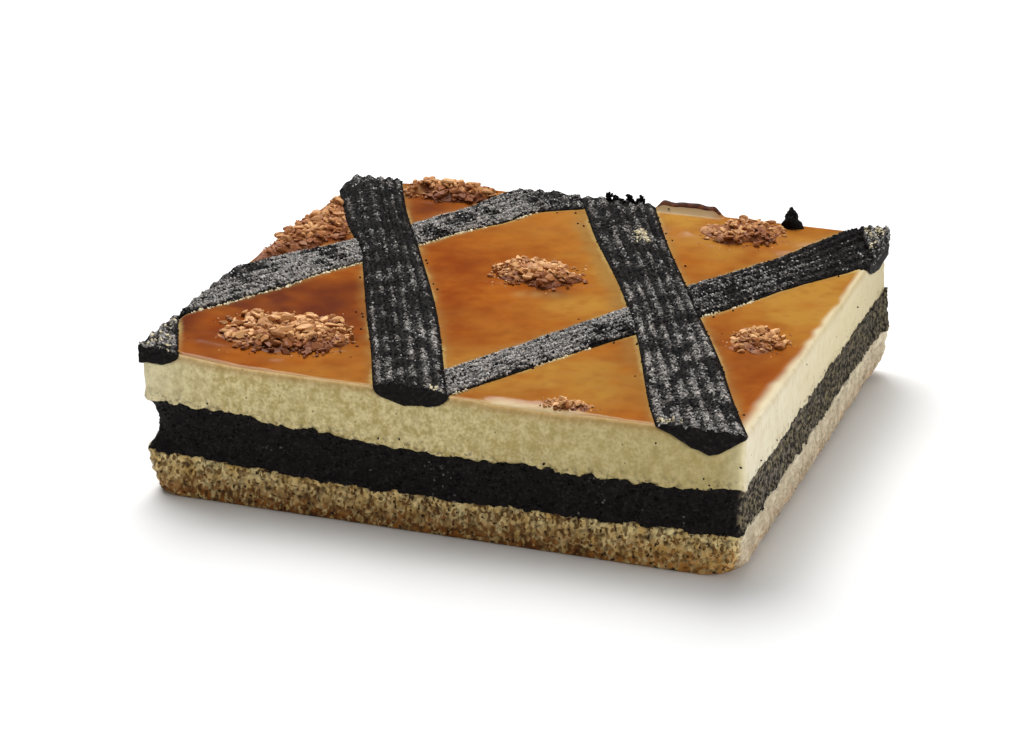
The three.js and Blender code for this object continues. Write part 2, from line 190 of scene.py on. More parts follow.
# %% Heights of the layers
BASE_TOP = 16.0
BASE_DIP = 1.2  # the base is lower in the middle of a face, and rises towards the ends and the back
BASE_END_RISE = 2.4
BASE_BACK_RISE = 2.2
POPPY_TOP = 32.0
POPPY_DIP = 0.6
POPPY_LEFT_RISE = 5.5
POPPY_RIGHT_RISE = 2.2
TOP_EDGE_INSET = 2.6  # the cheese's top edge is rounded over this distance
TOP_EDGE_DROP = 2.2
RIM_HEIGHT = 2.5
RIM_REACH = 42.0  # the top rises gently to the left and back edges over this distance
LEFT_RIM_END = (0.0, 80.0)  # along this stretch of y the left rim dies away
BACK_RIM_START = (-110.0, -60.0)  # along this stretch of x the back rim begins
SAG_START, SAG_END = 14.0, 56.0  # along this part of the front edge the glaze sags
SAG_BLEND = 9.0
SAG_SLOPE = 0.2
SAG_ONSET = 3.0  # how softly the sag begins
SAG_REACH = 8.0
FLAKE_X = 31.0  # a flake of the back rim is lifted
FLAKE_REACH = 15.0
FLAKE_HEIGHT = 4.0
FLAKE_DEPTH = 5.0


def ease(value, start, end):
    """0 before start, 1 after end, and a smooth rise between them."""
    share = np.clip((value - start) / (end - start), 0, 1)
    return share * share * (3 - 2 * share)


def edge_nearness(inset, reach):
    """1 at the top's outer edge, falling to 0 that far in."""
    return ease(reach - inset, 0, reach - TOP_EDGE_INSET)


def flake_share(x):
    """1 along the lifted stretch of the back rim."""
    return 1 - ease(np.abs(x - FLAKE_X), 0.65 * FLAKE_REACH, FLAKE_REACH)


def sag_share(x):
    """1 along the sagging stretch of the front edge."""
    return ease(x, SAG_START, SAG_START + SAG_BLEND) * (1 - ease(x, SAG_END - SAG_BLEND, SAG_END))


def top_height(x, y):
    """The height of the cheese's top, without its ripples and grooves."""
    left = edge_nearness(x + HALF[0], RIM_REACH) * (1 - ease(y, *LEFT_RIM_END))
    back = edge_nearness(HALF[1] - y, RIM_REACH) * ease(x, *BACK_RIM_START)
    ragged = 1 + 0.07 * np.sin(x / 2.3) + 0.04 * np.sin(x / 1.1 + 1)
    flake = edge_nearness(HALF[1] - y, FLAKE_DEPTH) * flake_share(x) * ragged
    past = np.maximum(0, SAG_REACH - HALF[1] - y)
    sag = SAG_SLOPE * past * past / (past + SAG_ONSET) * sag_share(x)
    return CHEESE_TOP + RIM_HEIGHT * np.maximum(left, back) + FLAKE_HEIGHT * flake - sag


def base_top(x, y):
    """The height at which the base meets the filling at the cut faces."""
    ends = BASE_END_RISE * (x / HALF[0]) ** 2
    back = BASE_BACK_RISE * np.maximum(0, y / HALF[1]) ** 2
    return BASE_TOP - BASE_DIP + ends + back


def poppy_top(x, y):
    """The height at which the filling meets the cheese at the cut faces."""
    left = POPPY_LEFT_RISE * ease(-x / HALF[0], 0, 1)
    right = POPPY_RIGHT_RISE * ease(x / HALF[0], 0.75, 1)
    return POPPY_TOP - POPPY_DIP + left + right


print("rim stands", round(float(top_height(0.0, HALF[1]) - CHEESE_TOP), 2), "mm above the top")

# %% [markdown]
# ## Uneven surfaces
# Nothing baked is smooth. Two kinds of unevenness are enough here. Swells are soft hills and hollows of one
# size. Lumps are rounded grains packed side by side with creases between them, as in crumb or seed paste.
# Both are worked out from whole-numbered cells of space, so the same place always gets the same value. The
# last number of each call is a seed: another seed gives another pattern.

# %% Swells and lumps
def cell_value(cells, seed):
    """A repeatable number from 0 to 1 for each whole-numbered cell."""
    mixed = cells[..., 0] * 73856093 ^ cells[..., 1] * 19349663 ^ cells[..., 2] * 83492791
    mixed = (mixed ^ (seed * 2654435761)) & 0xFFFFFFFF
    mixed = ((mixed ^ (mixed >> 13)) * 1274126177) & 0xFFFFFFFF
    mixed = ((mixed ^ (mixed >> 16)) * 668265263) & 0xFFFFFFFF
    return (mixed ^ (mixed >> 15)) / 0xFFFFFFFF


def swell(points, size, seed):
    """Soft noise from -1 to 1 with hills about that size across."""
    scaled = np.asarray(points, float) / size
    corner = np.floor(scaled).astype(np.int64)
    share = scaled - corner
    share = share * share * (3 - 2 * share)
    total = np.zeros(len(scaled))
    for step in np.ndindex(2, 2, 2):
        weight = np.prod(np.where(step, share, 1 - share), axis=1)
        total += weight * cell_value(corner + np.array(step), seed)
    return 2 * total - 1


def lumps(points, size, seed):
    """Rounded grains of that size: 1 on a grain's middle, falling to about 0 in the creases."""
    scaled = np.asarray(points, float) / size
    corner = np.floor(scaled).astype(np.int64)
    nearest = np.full(len(scaled), np.inf)
    for step in np.ndindex(3, 3, 3):
        cell = corner + np.array(step) - 1
        seat = np.stack([cell_value(cell, seed + k) for k in range(3)], axis=1)
        nearest = np.minimum(nearest, np.linalg.norm(cell + seat - scaled, axis=1))
    return np.clip(1 - nearest, 0, 1)


def flat_points(x, y):
    """Places of the plan as points at height 0, for patterns that are the same at every height."""
    return np.column_stack([x, y, np.zeros(len(x))])


sample = np.random.default_rng(1).uniform(0, 50, (2000, 3))
print("swell", np.round(np.ptp(swell(sample, 6, 1)), 2), "lumps", np.round(lumps(sample, 6, 1).mean(), 2))

# %% [markdown]
# ## Finishes
# Each surface gets a node tree that starts from one shader. A small helper adds the few nodes that food
# needs: noise and cells at a size in millimetres, the stretch of a value, blends of two colours, and a bump.
# Values that are the same all over are written straight on the shader's sockets.

# %% A helper for finishes
class Finish:
    """One material and its node tree."""

    def __init__(self, name, sockets):
        self.material = bpy.data.materials.new(name)
        self.material.use_nodes = True
        self.nodes = self.material.node_tree.nodes
        self.links = self.material.node_tree.links
        self.shader = self.nodes["Principled BSDF"]
        self.place = self.nodes.new("ShaderNodeTexCoord").outputs["Object"]
        for socket, value in sockets.items():
            self.shader.inputs[socket].default_value = value

    def feed(self, node, socket, value):
        """Sets a node's socket to a value, or links it to another node's output."""
        if isinstance(value, bpy.types.NodeSocket):
            self.links.new(value, node.inputs[socket])
        else:
            node.inputs[socket].default_value = value

    def stretched(self, factors):
        """The place on the piece, stretched along some axes."""
        node = self.nodes.new("ShaderNodeMapping")
        node.inputs["Scale"].default_value = factors
        self.links.new(self.place, node.inputs["Vector"])
        return node.outputs["Vector"]

    def along(self, axis):
        """How far along one axis the place lies, in metres."""
        node = self.nodes.new("ShaderNodeSeparateXYZ")
        self.links.new(self.place, node.inputs["Vector"])
        return node.outputs[axis]

    def attribute(self, name):
        """A number that was stored on the mesh's points."""
        node = self.nodes.new("ShaderNodeAttribute")
        node.attribute_name = name
        return node.outputs["Fac"]

    def noise(self, size, detail=3, place=None):
        """Soft noise around 0.5 with blotches about that size across."""
        node = self.nodes.new("ShaderNodeTexNoise")
        node.inputs["Scale"].default_value = 1 / (size * MM)
        node.inputs["Detail"].default_value = detail
        self.links.new(place or self.place, node.inputs["Vector"])
        return node.outputs["Fac"]

    def cells(self, size, output="Distance", place=None):
        """Cells of that size: the distance from their middles, or a random value for each."""
        node = self.nodes.new("ShaderNodeTexVoronoi")
        node.inputs["Scale"].default_value = 1 / (size * MM)
        self.links.new(place or self.place, node.inputs["Vector"])
        return node.outputs[output]

    def span(self, value, start, end, low=0.0, high=1.0):
        """The value's stretch from start to end, mapped to low and high and held beyond them."""
        node = self.nodes.new("ShaderNodeMapRange")
        for socket, number in zip(RANGE_SOCKETS, (start, end, low, high)):
            node.inputs[socket].default_value = number
        self.links.new(value, node.inputs["Value"])
        return node.outputs["Result"]

    def combine(self, operation, first, second):
        """Two values added or multiplied, or the larger of them."""
        node = self.nodes.new("ShaderNodeMath")
        node.operation = operation
        self.feed(node, 0, first)
        self.feed(node, 1, second)
        return node.outputs["Value"]

    def blend(self, factor, first, second):
        """The first colour where the factor is 0, the second where it is 1."""
        node = self.nodes.new("ShaderNodeMix")
        node.data_type = "RGBA"
        self.feed(node, 0, factor)
        self.feed(node, 6, first)  # the node has sockets for other kinds of data before its colours
        self.feed(node, 7, second)
        return node.outputs[2]

    def ramp(self, value, start, end, first, second, most=1.0):
        """The first colour up to the start of a stretch, and at most so much of the second from its end."""
        return self.blend(self.span(value, start, end, 0.0, most), first, second)

    def paint(self, colour):
        self.links.new(colour, self.shader.inputs["Base Color"])

    def bump(self, value, depth, strength):
        node = self.nodes.new("ShaderNodeBump")
        node.inputs["Distance"].default_value = depth * MM
        node.inputs["Strength"].default_value = strength
        self.links.new(value, node.inputs["Height"])
        self.links.new(node.outputs["Normal"], self.shader.inputs["Normal"])


def rgba(red, green, blue):
    return (red, green, blue, 1.0)


print("finishes start from", bpy.app.version_string)

# %% [markdown]
# ## Pieces from arrays
# A layer is a stack of rings of points, one ring above another. Each ring has the same number of points, so
# the faces between two rings are plain quads. The ring starts as a rectangle. Its corners are rounded by
# sliding the points of each corner square onto a quarter disc, which keeps their order and spacing.

# %% Rings and stacks
CORNER_RADIUS = 2.5
FLAT_INSET = 14.0  # how far in from the cut faces the meeting surfaces are flat
FLAT_RADIUS = 8.0


def square_ring(steps):
    """Points round a square from -1 to 1, anticlockwise from the front left corner."""
    along_x = np.linspace(-1, 1, steps[0] + 1)
    along_y = np.linspace(-1, 1, steps[1] + 1)
    front = [(x, -1) for x in along_x[:-1]]
    right = [(1, y) for y in along_y[:-1]]
    back = [(x, 1) for x in along_x[:0:-1]]
    left = [(-1, y) for y in along_y[:0:-1]]
    return np.array(front + right + back + left)


def round_corners(plan, half, radius):
    """Slides the points of each corner square onto a quarter disc of that radius."""
    core = half - radius
    excess = np.abs(plan) - core
    in_corner = (excess > 0).all(axis=-1)
    corner = excess[in_corner]
    factor = corner.max(axis=1) / np.hypot(corner[:, 0], corner[:, 1])
    rounded = plan.copy()
    rounded[in_corner] = np.sign(plan[in_corner]) * (core + corner * factor[:, None])
    return rounded


def ring(steps, inset, radius=CORNER_RADIUS):
    """Points round the block's plan, so far in from the cut faces."""
    half = HALF - inset
    return round_corners(square_ring(steps) * half, half, radius)


def outward(plan):
    """Unit normals of a closed anticlockwise ring."""
    along = np.roll(plan, -1, axis=0) - np.roll(plan, 1, axis=0)
    normal = np.stack([along[:, 1], -along[:, 0]], axis=1)
    return normal / np.linalg.norm(normal, axis=1, keepdims=True)


def stack_quads(rows, count):
    """Quads between each ring of a stack and the ring above it."""
    first = np.arange(rows - 1)[:, None] * count
    here = np.arange(count)[None, :]
    after = (here + 1) % count
    quads = np.stack([first + here, first + after, first + count + after, first + count + here], axis=-1)
    return quads.reshape(-1, 4)


def end_faces(rows, count):
    """One face that closes each end of a stack."""
    last = (rows - 1) * count
    return [list(range(count))[::-1], list(range(last, last + count))]


def grid_quads(index):
    """Quads of a grid, from the numbers of its points."""
    corners = [index[:-1, :-1], index[:-1, 1:], index[1:, 1:], index[1:, :-1]]
    return np.stack(corners, axis=-1).reshape(-1, 4)


print("a ring of 8 by 6 steps has", len(ring((8, 6), 0)), "points")

# %% [markdown]
# Every piece is made by the same function: a mesh from the arrays, its finishes, and a note of the body it
# rides on. Numbers stored on the points let a finish change from place to place on the piece, and stay with
# it from every side.

# %% Making a piece
def make_piece(name, points, faces, finishes, face_finish=None, smooth=True):
    """A mesh piece in millimetres that rides on the block."""
    mesh = bpy.data.meshes.new(name)
    mesh.from_pydata((np.asarray(points) * MM).tolist(), [], faces)
    for finish in finishes:
        mesh.materials.append(finish.material)
    if face_finish is not None:
        mesh.polygons.foreach_set("material_index", np.asarray(face_finish, np.int32))
    mesh.polygons.foreach_set("use_smooth", np.broadcast_to(smooth, len(mesh.polygons)))
    piece = bpy.data.objects.new(name, mesh)
    bpy.context.collection.objects.link(piece)
    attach(piece, "root")
    return piece


def note_values(piece, name, values):
    """Stores one number for each point, for a finish to read."""
    layer = piece.data.attributes.new(name, "FLOAT", "POINT")
    layer.data.foreach_set("value", np.asarray(values, np.float32))


print("pieces are measured in units of", MM, "m")

# %% [markdown]
# ## The biscuit base
# The base is pressed crumb: pale grains at the top, browner towards the underside, with a rough broken face
# where the knife went through. The long faces are yellow with dark grains, and the short ones, wiped by the
# knife, are buff and calmer. A single colour with bump would look like clay, so the finish mixes grains of
# two sizes, paints shade near black into the creases between them, and adds dark spots.

# %% Biscuit finish
def biscuit_finish():
    finish = Finish("biscuit_crumb", {"Roughness": 0.85, "Specular IOR Level": 0.25})
    squat = finish.stretched((1, 1, 0.7))
    grain = finish.cells(1.1, "Color", squat)
    patch = finish.noise(6, 4)
    fine = finish.noise(0.7, 3)
    yellow = finish.ramp(patch, 0.35, 0.65, rgba(0.74, 0.48, 0.15), rgba(1.0, 0.84, 0.42))
    buff = finish.ramp(patch, 0.35, 0.65, rgba(0.58, 0.49, 0.34), rgba(0.76, 0.68, 0.50))
    long_face = finish.attribute("long_face")
    pale = finish.blend(long_face, buff, yellow)
    grainier = finish.span(long_face, 0, 1, 0.22, 0.9)
    speckle = finish.combine("MULTIPLY", finish.span(grain, 0.42, 0.75), grainier)
    speckled = finish.blend(speckle, pale, rgba(0.15, 0.062, 0.015))
    browning = finish.span(finish.along("Z"), 0.0145, 0.002)
    baked_grain = finish.cells(1.3, "Color", squat)
    baked = finish.combine("MULTIPLY", browning, finish.span(baked_grain, 0.35, 0.6, 0.25, 1.0))
    uneven = finish.combine("MULTIPLY", baked, finish.span(long_face, 0, 1, 0.55, 1.0))
    toasted = finish.ramp(patch, 0.4, 0.6, rgba(0.17, 0.058, 0.013), rgba(0.42, 0.16, 0.028))
    right_end = finish.span(finish.along("X"), 0.05, 0.1, 0.0, 0.75)
    front_right = finish.combine("MULTIPLY", right_end, long_face)
    amber = finish.blend(front_right, toasted, rgba(0.86, 0.40, 0.09))
    crust = finish.blend(uneven, speckled, amber)
    # painted shade: near black where the relief's grains leave creases, and in dark spots, less on the short
    # faces
    grain_crease_shade = finish.span(finish.attribute("relief"), 0.12, 0.5, 0.97, 0.0)
    crease_shade_and_spots = finish.combine("MAXIMUM", grain_crease_shade, finish.span(finish.noise(1.8, 2), 0.42, 0.33))
    shown = finish.combine("MULTIPLY", crease_shade_and_spots, finish.span(long_face, 0, 1, 0.3, 1.0))
    finish.paint(finish.blend(shown, crust, rgba(0.045, 0.02, 0.008)))
    finish.bump(finish.combine("ADD", fine, finish.noise(0.35, 2)), 0.25, 0.7)
    return finish


biscuit_crumb = biscuit_finish()
print(biscuit_crumb.material.name, "has", len(biscuit_crumb.nodes), "nodes")

# %% [markdown]
# Bump alone would leave the base's outline straight, so the grains are real relief: lumps of two sizes move
# the face's points in and out. The underside is drawn in and its corners are well rounded. The line where
# two layers meet wanders, and is worked out once so that both layers share it.

# %% Biscuit base
FINE_STEPS = (296, 272)  # points along the faces of the base and the filling
BASE_LEVELS = np.concatenate([[0, 0.02, 0.06], np.linspace(0.1, 1, 22)])  # rings up the base, as shares
BASE_SHARES = [0.0, 0.05, 0.16, 0.5, 0.8, 1.0]  # the heights at which the insets and radii are given
BASE_INSETS = [3.5, 2.4, 1.5, 0.8, 0.9, 0.6]
BASE_RADII = [12.0, 10.8, 9.6, 6.0, 3.5, 2.5]
FOOT_SHIFT = 1.5  # the foot is drawn in less at the front and the left
CRUMB_RELIEF = 2.4
EDGE_INSET = 0.6  # where the meeting lines lie
BASE_EDGE_SEED = 11
POPPY_EDGE_SEED = 13
BULGE = 3.2  # the lower layers stand out to the right at the far right corner
BULGE_REACH = np.array([10.0, 14.0])


def far_corner_bulge(plan):
    """How far the lower layers stand out to the right."""
    aside = (HALF - plan) / BULGE_REACH
    return BULGE * np.exp(-(aside ** 2).sum(axis=1))


def meeting_edge(plan, height, seed):
    """The uneven line where two layers meet at the cut faces."""
    flat = flat_points(*plan.T)
    uneven = 0.6 * swell(flat, 8, seed) + 0.7 * swell(flat, 3, seed + 1) + 0.5 * swell(flat, 1.6, seed + 2)
    return height(*plan.T) + uneven


def capped_stack(rows, low_flat, high_flat, steps):
    """Closes a stack with a flat inner ring at each end."""
    inner = ring(steps, FLAT_INSET, FLAT_RADIUS)
    low = np.column_stack([inner, np.full(len(inner), low_flat)])
    high = np.column_stack([inner, np.full(len(inner), high_flat)])
    rows = [low] + rows + [high]
    faces = stack_quads(len(rows), len(inner)).tolist() + end_faces(len(rows), len(inner))
    return np.concatenate(rows), faces


fine_edge = ring(FINE_STEPS, EDGE_INSET)
fine_facing = outward(fine_edge)
base_edge = meeting_edge(fine_edge, base_top, BASE_EDGE_SEED)
poppy_edge = meeting_edge(fine_edge, poppy_top, POPPY_EDGE_SEED)


def biscuit_base():
    rows, reliefs = [], []
    for share in BASE_LEVELS:
        inset = np.interp(share, BASE_SHARES, BASE_INSETS)
        plan = ring(FINE_STEPS, inset, np.interp(share, BASE_SHARES, BASE_RADII))
        plan = plan - FOOT_SHIFT * (1 - ease(share, 0, 0.16))
        points = np.column_stack([plan, share * base_edge])
        relief = 0.6 * lumps(points, 2.2, 21) + 0.4 * lumps(points, 1.4, 24)
        push = CRUMB_RELIEF * (relief - 0.5) + 0.5 * swell(points, 8, 27)
        push *= ease(share, -0.02, 0.12)
        points[:, :2] += push[:, None] * outward(plan)
        points[:, 0] += far_corner_bulge(plan) * ease(share, 0.0, 0.5)
        rows.append(points)
        reliefs.append(relief)
    points, faces = capped_stack(rows, 0.0, BASE_TOP, FINE_STEPS)
    piece = make_piece("biscuit_base_crumb", points, faces, [biscuit_crumb])
    flat = np.full(len(fine_edge), 0.5)
    note_values(piece, "relief", np.concatenate([flat] + reliefs + [flat]))
    note_values(piece, "long_face", np.tile(np.abs(fine_facing[:, 1]), len(rows) + 2))
    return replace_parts(piece, "biscuit_base")


base_piece = biscuit_base()
print(base_piece.name, len(base_piece.data.polygons), "faces")

# %% [markdown]
# ## The poppy seed filling
# Ground poppy seed paste is nearly black, moist and grainy. It has shrunk back a little between the base and
# the cheese, and its face is ragged. The relief uses lumps as small as seeds over broader hollows. The right
# face is paler, smeared with crumb and curd by the knife and given a painted sheen, and the left one a
# little. Whole seeds are laid on later, once all the dark pieces exist.

# %% Poppy seed filling
def filling_finish():
    finish = Finish("poppy_seed_filling", {"Roughness": 0.7, "Specular IOR Level": 0.1})
    grain = finish.cells(0.9, "Color")
    patch = finish.noise(5, 4, finish.stretched((1, 0.4, 1)))
    speck = finish.noise(1.8, 4)
    moist = finish.ramp(patch, 0.3, 0.7, rgba(0.006, 0.005, 0.005), rgba(0.014, 0.011, 0.010))
    # the pale colour of the smeared faces is partly smear and partly a painted sheen
    smear_and_sheen_colour = finish.ramp(patch, 0.4, 0.6, rgba(0.25, 0.206, 0.118), rgba(0.23, 0.190, 0.150))
    # painted shade: the pale smeared colour darkens towards the back
    shaded_far_end = finish.ramp(finish.along("Y"), -0.06, 0.05, smear_and_sheen_colour, rgba(0.12, 0.098, 0.05), 0.6)
    smeared = finish.ramp(speck, 0.44, 0.60, rgba(0.014, 0.011, 0.007), shaded_far_end)
    less_smear_and_sheen = finish.combine("ADD", finish.attribute("free_of_smear_and_sheen"), finish.noise(8, 4))
    paste = finish.ramp(less_smear_and_sheen, 0.5, 1.15, smeared, moist)
    finish.paint(finish.ramp(grain, 0.6, 1.0, paste, rgba(0.030, 0.026, 0.025)))
    finish.bump(finish.cells(0.9), 0.3, 0.8)
    return finish


FILLING_ROWS = 27
FILLING_SHARES = [0.0, 0.2, 0.55, 0.85, 1.0]
FILLING_INSETS = [0.6, 1.3, 1.6, 1.3, 0.5]
LAYER_OVERLAP = 0.3  # the filling reaches this far into its neighbours
PASTE_RELIEF = 0.9
NOTCH_DEPTH = 4.5  # a crumb is missing at the front left corner
NOTCH_REACH = 9.0
LEFT_SMEAR_AND_SHEEN = 0.45  # how much the left face is smeared and given painted sheen, where the right one has 1
filling_paste = filling_finish()


def poppy_filling():
    """The filling's piece, with its points and the quads of its cut faces."""
    rows = []
    for share in np.linspace(0, 1, FILLING_ROWS):
        plan = ring(FINE_STEPS, np.interp(share, FILLING_SHARES, FILLING_INSETS))
        height = base_edge - LAYER_OVERLAP + share * (poppy_edge - base_edge + 2 * LAYER_OVERLAP)
        points = np.column_stack([plan, height])
        hollows = 0.55 * swell(points, 4, 34) + 0.5 * swell(points, 13, 35)
        push = PASTE_RELIEF * (lumps(points, 1.3, 31) - 0.4) + hollows
        from_corner = np.hypot(*(plan + HALF).T) / NOTCH_REACH
        push -= NOTCH_DEPTH * np.exp(-from_corner * from_corner) * 4 * share * (1 - share)
        points[:, :2] += push[:, None] * outward(plan)
        points[:, 0] += far_corner_bulge(plan) * (1 - 0.6 * ease(share, 0.6, 1.0))
        rows.append(points)
    points, faces = capped_stack(rows, BASE_TOP, POPPY_TOP, FINE_STEPS)
    piece = make_piece("poppy_filling_paste", points, faces, [filling_paste])
    facing = fine_facing[:, 0]
    # the right face's smear is partly a painted sheen, and the left face's a little
    smear = np.where(facing > 0, 1.0, -LEFT_SMEAR_AND_SHEEN) * facing
    note_values(piece, "free_of_smear_and_sheen", np.tile(np.clip(1 - smear, 0, 1), len(rows) + 2))
    cut_faces = stack_quads(len(rows), len(fine_edge)) + len(fine_edge)
    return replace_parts(piece, "poppy_filling"), points, cut_faces


filling_piece, filling_points, filling_faces = poppy_filling()
print(filling_piece.name, len(filling_piece.data.polygons), "faces")

# %% [markdown]
# ## The lines of the lattice
# A strip of the lattice is a band along a straight line, given by its angle and its distance from the block's
# middle. No strip is even: some stretches widen or narrow, and some ends are sunk less deep. These are
# written as short lists, in millimetres along the strip.

# %% Strips of the lattice
UPPER_ANGLE = 114.5
LOWER_ANGLE = 60.5
STRIPS = {
    "poppy_strip_left_corner": {"angle": UPPER_ANGLE, "offset": -141.5, "width": 24, "phase": 3.409},
    "poppy_strip_left": {"angle": UPPER_ANGLE, "offset": -49.8, "width": 23, "phase": 0.924},
    "poppy_strip_right": {"angle": UPPER_ANGLE, "offset": 45.9, "width": 23.5, "phase": 1.346},
    "poppy_strip_right_corner": {"angle": UPPER_ANGLE, "offset": 140.0, "width": 17, "phase": 0.404},
    "poppy_strip_cross_back": {"angle": LOWER_ANGLE, "offset": -75.4, "width": 22, "phase": 1.965},
    "poppy_strip_cross_front": {"angle": LOWER_ANGLE, "offset": 45.6, "width": 23, "phase": 3.444},
}
# Stretches where an edge moves out, or in where negative: the side, from where to where, and how far
FLARES = {
    "poppy_strip_left": [(1, 60, -60, 2.2), (-1, -40, -90, 1.3), (-1, 45, 90, 4.0), (1, 60, 100, -1.5)],
    "poppy_strip_right": [(-1, -40, -118, 4.0), (1, -10, -85, 3.0), (-1, -25, 72, 4.6)],
    "poppy_strip_cross_back": [
        (1, 54, 82, 14.0),
        (-1, 42, 28, 3.0),
        (1, -72, -42, -4.5),
        (1, 22, 52, 4.5),
        (1, -72, -95, 2.0),
    ],
    "poppy_strip_cross_front": [(1, 80, 135, 6.0), (1, 30, -10, -3.8), (1, 30, 50, 1.8), (-1, 35, 55, 1.6)],
}
# Ends that are sunk less deep: from where to where along the strip, and the share of the depth that is left
SHALLOWS = {
    "poppy_strip_left_corner": (100, 0, 0.6),
    "poppy_strip_left": (-55, -85, 0.86),
    "poppy_strip_right_corner": (80, 42, 0.5),
    "poppy_strip_cross_front": (-60, -86, 0.55),
}
# An end whose underside is cut to a point: from where to where along the strip, and where across it
POINTED = {"poppy_strip_right": (-108, -128, 0.15)}
upper_names = [name for name, values in STRIPS.items() if values["angle"] == UPPER_ANGLE]
lower_names = [name for name, values in STRIPS.items() if values["angle"] == LOWER_ANGLE]
print(len(upper_names), "upper strips,", len(lower_names), "lower strips")

# %% [markdown]
# A strip's middle and its width wander a little. The upper strips rise where they lie over the lower ones,
# and are sunk less deep there. The underside is half an ellipse, as their cut ends show. Each strip answers
# two questions: where a place across and along it lies in the plan, and the other way round.

# %% Lines of the lattice
NEVER = 1000.0  # farther along than any strip reaches
NOT_SHALLOW = (0, 1, 1.0)
NOT_POINTED = (NEVER, NEVER + 1, 0.0)
STRIP_DEPTH = 8.5
STRIP_PROUD = 0.7
WANDER = 0.7
WANDER_LENGTH = 38.0
WIDTH_CHANGE = 0.05  # as a share of the width
WIDTH_LENGTH = 27.0
CROSSING_LIFT = 1.2
CROSSING_THIN = 3.0
CROSSING_SPAN = 17.0


class StripLine:
    """Where a strip runs, and how wide, proud and deep it is along its length."""

    def __init__(self, name, angle, offset, width, phase):
        self.flares = FLARES.get(name, [])
        self.shallow = SHALLOWS.get(name, NOT_SHALLOW)
        self.pointed = POINTED.get(name, NOT_POINTED)
        self.angle = math.radians(angle)
        self.along = np.array([math.cos(self.angle), math.sin(self.angle)])
        self.across = np.array([self.along[1], -self.along[0]])
        self.offset = offset
        self.width = width
        self.phase = phase
        self.crossings = []

    def find_crossings(self, others):
        """Notes where along it the strip lies over some others."""
        for other in others:
            turned = other.angle - self.angle
            self.crossings.append((other.offset - self.offset * math.cos(turned)) / math.sin(turned))

    def middle(self, t):
        return self.offset + WANDER * np.sin(t / WANDER_LENGTH + self.phase)

    def half_width(self, t, side):
        """From the middle to the edge on one side, which is negative for the left."""
        half = self.width / 2 * (1 + WIDTH_CHANGE * np.sin(t / WIDTH_LENGTH + 2 * self.phase))
        for flare_side, start, end, extra in self.flares:
            half = half + np.where(side * flare_side > 0, extra, 0) * ease(t, start, end)
        return half

    def rise(self, t):
        """1 at a crossing, falling to 0 beside it."""
        rise = np.zeros_like(t)
        for crossing in self.crossings:
            rise = np.maximum(rise, 1 - ease(np.abs(t - crossing), 0.5 * CROSSING_SPAN, CROSSING_SPAN))
        return rise

    def plan(self, q, t):
        """The place at q, from -1 at the left edge to 1 at the right one, and t along the strip."""
        sideways = self.middle(t) + q * self.half_width(t, q)
        return sideways[..., None] * self.across + t[..., None] * self.along

    def find(self, x, y):
        """The other way round: q and t of a place."""
        t = x * self.along[0] + y * self.along[1]
        sideways = x * self.across[0] + y * self.across[1] - self.middle(t)
        return sideways / self.half_width(t, sideways), t

    def gap(self, x, y):
        """The distance from a place to the strip's edge, negative inside the strip."""
        q, t = self.find(x, y)
        return (np.abs(q) - 1) * self.half_width(t, q)

    def sunk(self, q, t):
        """How deep the underside lies below the top, 0 outside the strip."""
        start, end, left = self.shallow
        depth = (STRIP_DEPTH - CROSSING_THIN * self.rise(t)) * (1 - (1 - left) * ease(t, start, end))
        depth = depth * (1 + 0.06 * np.sin(8 * q + 3 * self.phase) + 0.02 * np.sin(21 * q + 5 * self.phase))
        rounded = np.sqrt(np.clip(1 - q * q, 0, 1))
        start, end, apex = self.pointed
        slope = np.clip(1 - np.abs(q - apex) / (1 + apex * np.sign(apex - q)), 0, 1)
        return depth * (rounded + ease(t, start, end) * (1.02 * slope - rounded))


lines = {name: StripLine(name, **values) for name, values in STRIPS.items()}
upper_lines = [lines[name] for name in upper_names]
lower_lines = [lines[name] for name in lower_names]
for line in upper_lines:
    line.find_crossings(lower_lines)
print("the left strip crosses at", [round(t) for t in lines["poppy_strip_left"].crossings], "mm along it")

# %% [markdown]
# ## The cheese layer
# Baked curd is pale cream where it is cut, with a faint grain, small pores, drag marks and a few seeds that
# the knife pulled along. Its top is browned and carries a clear apricot glaze. Cut face and glaze are so
# unlike that they are two finishes on one mesh: the quads of the sides take the first, those of the top the
# second. A third, nearly black, is for the scorched flake on the back edge.

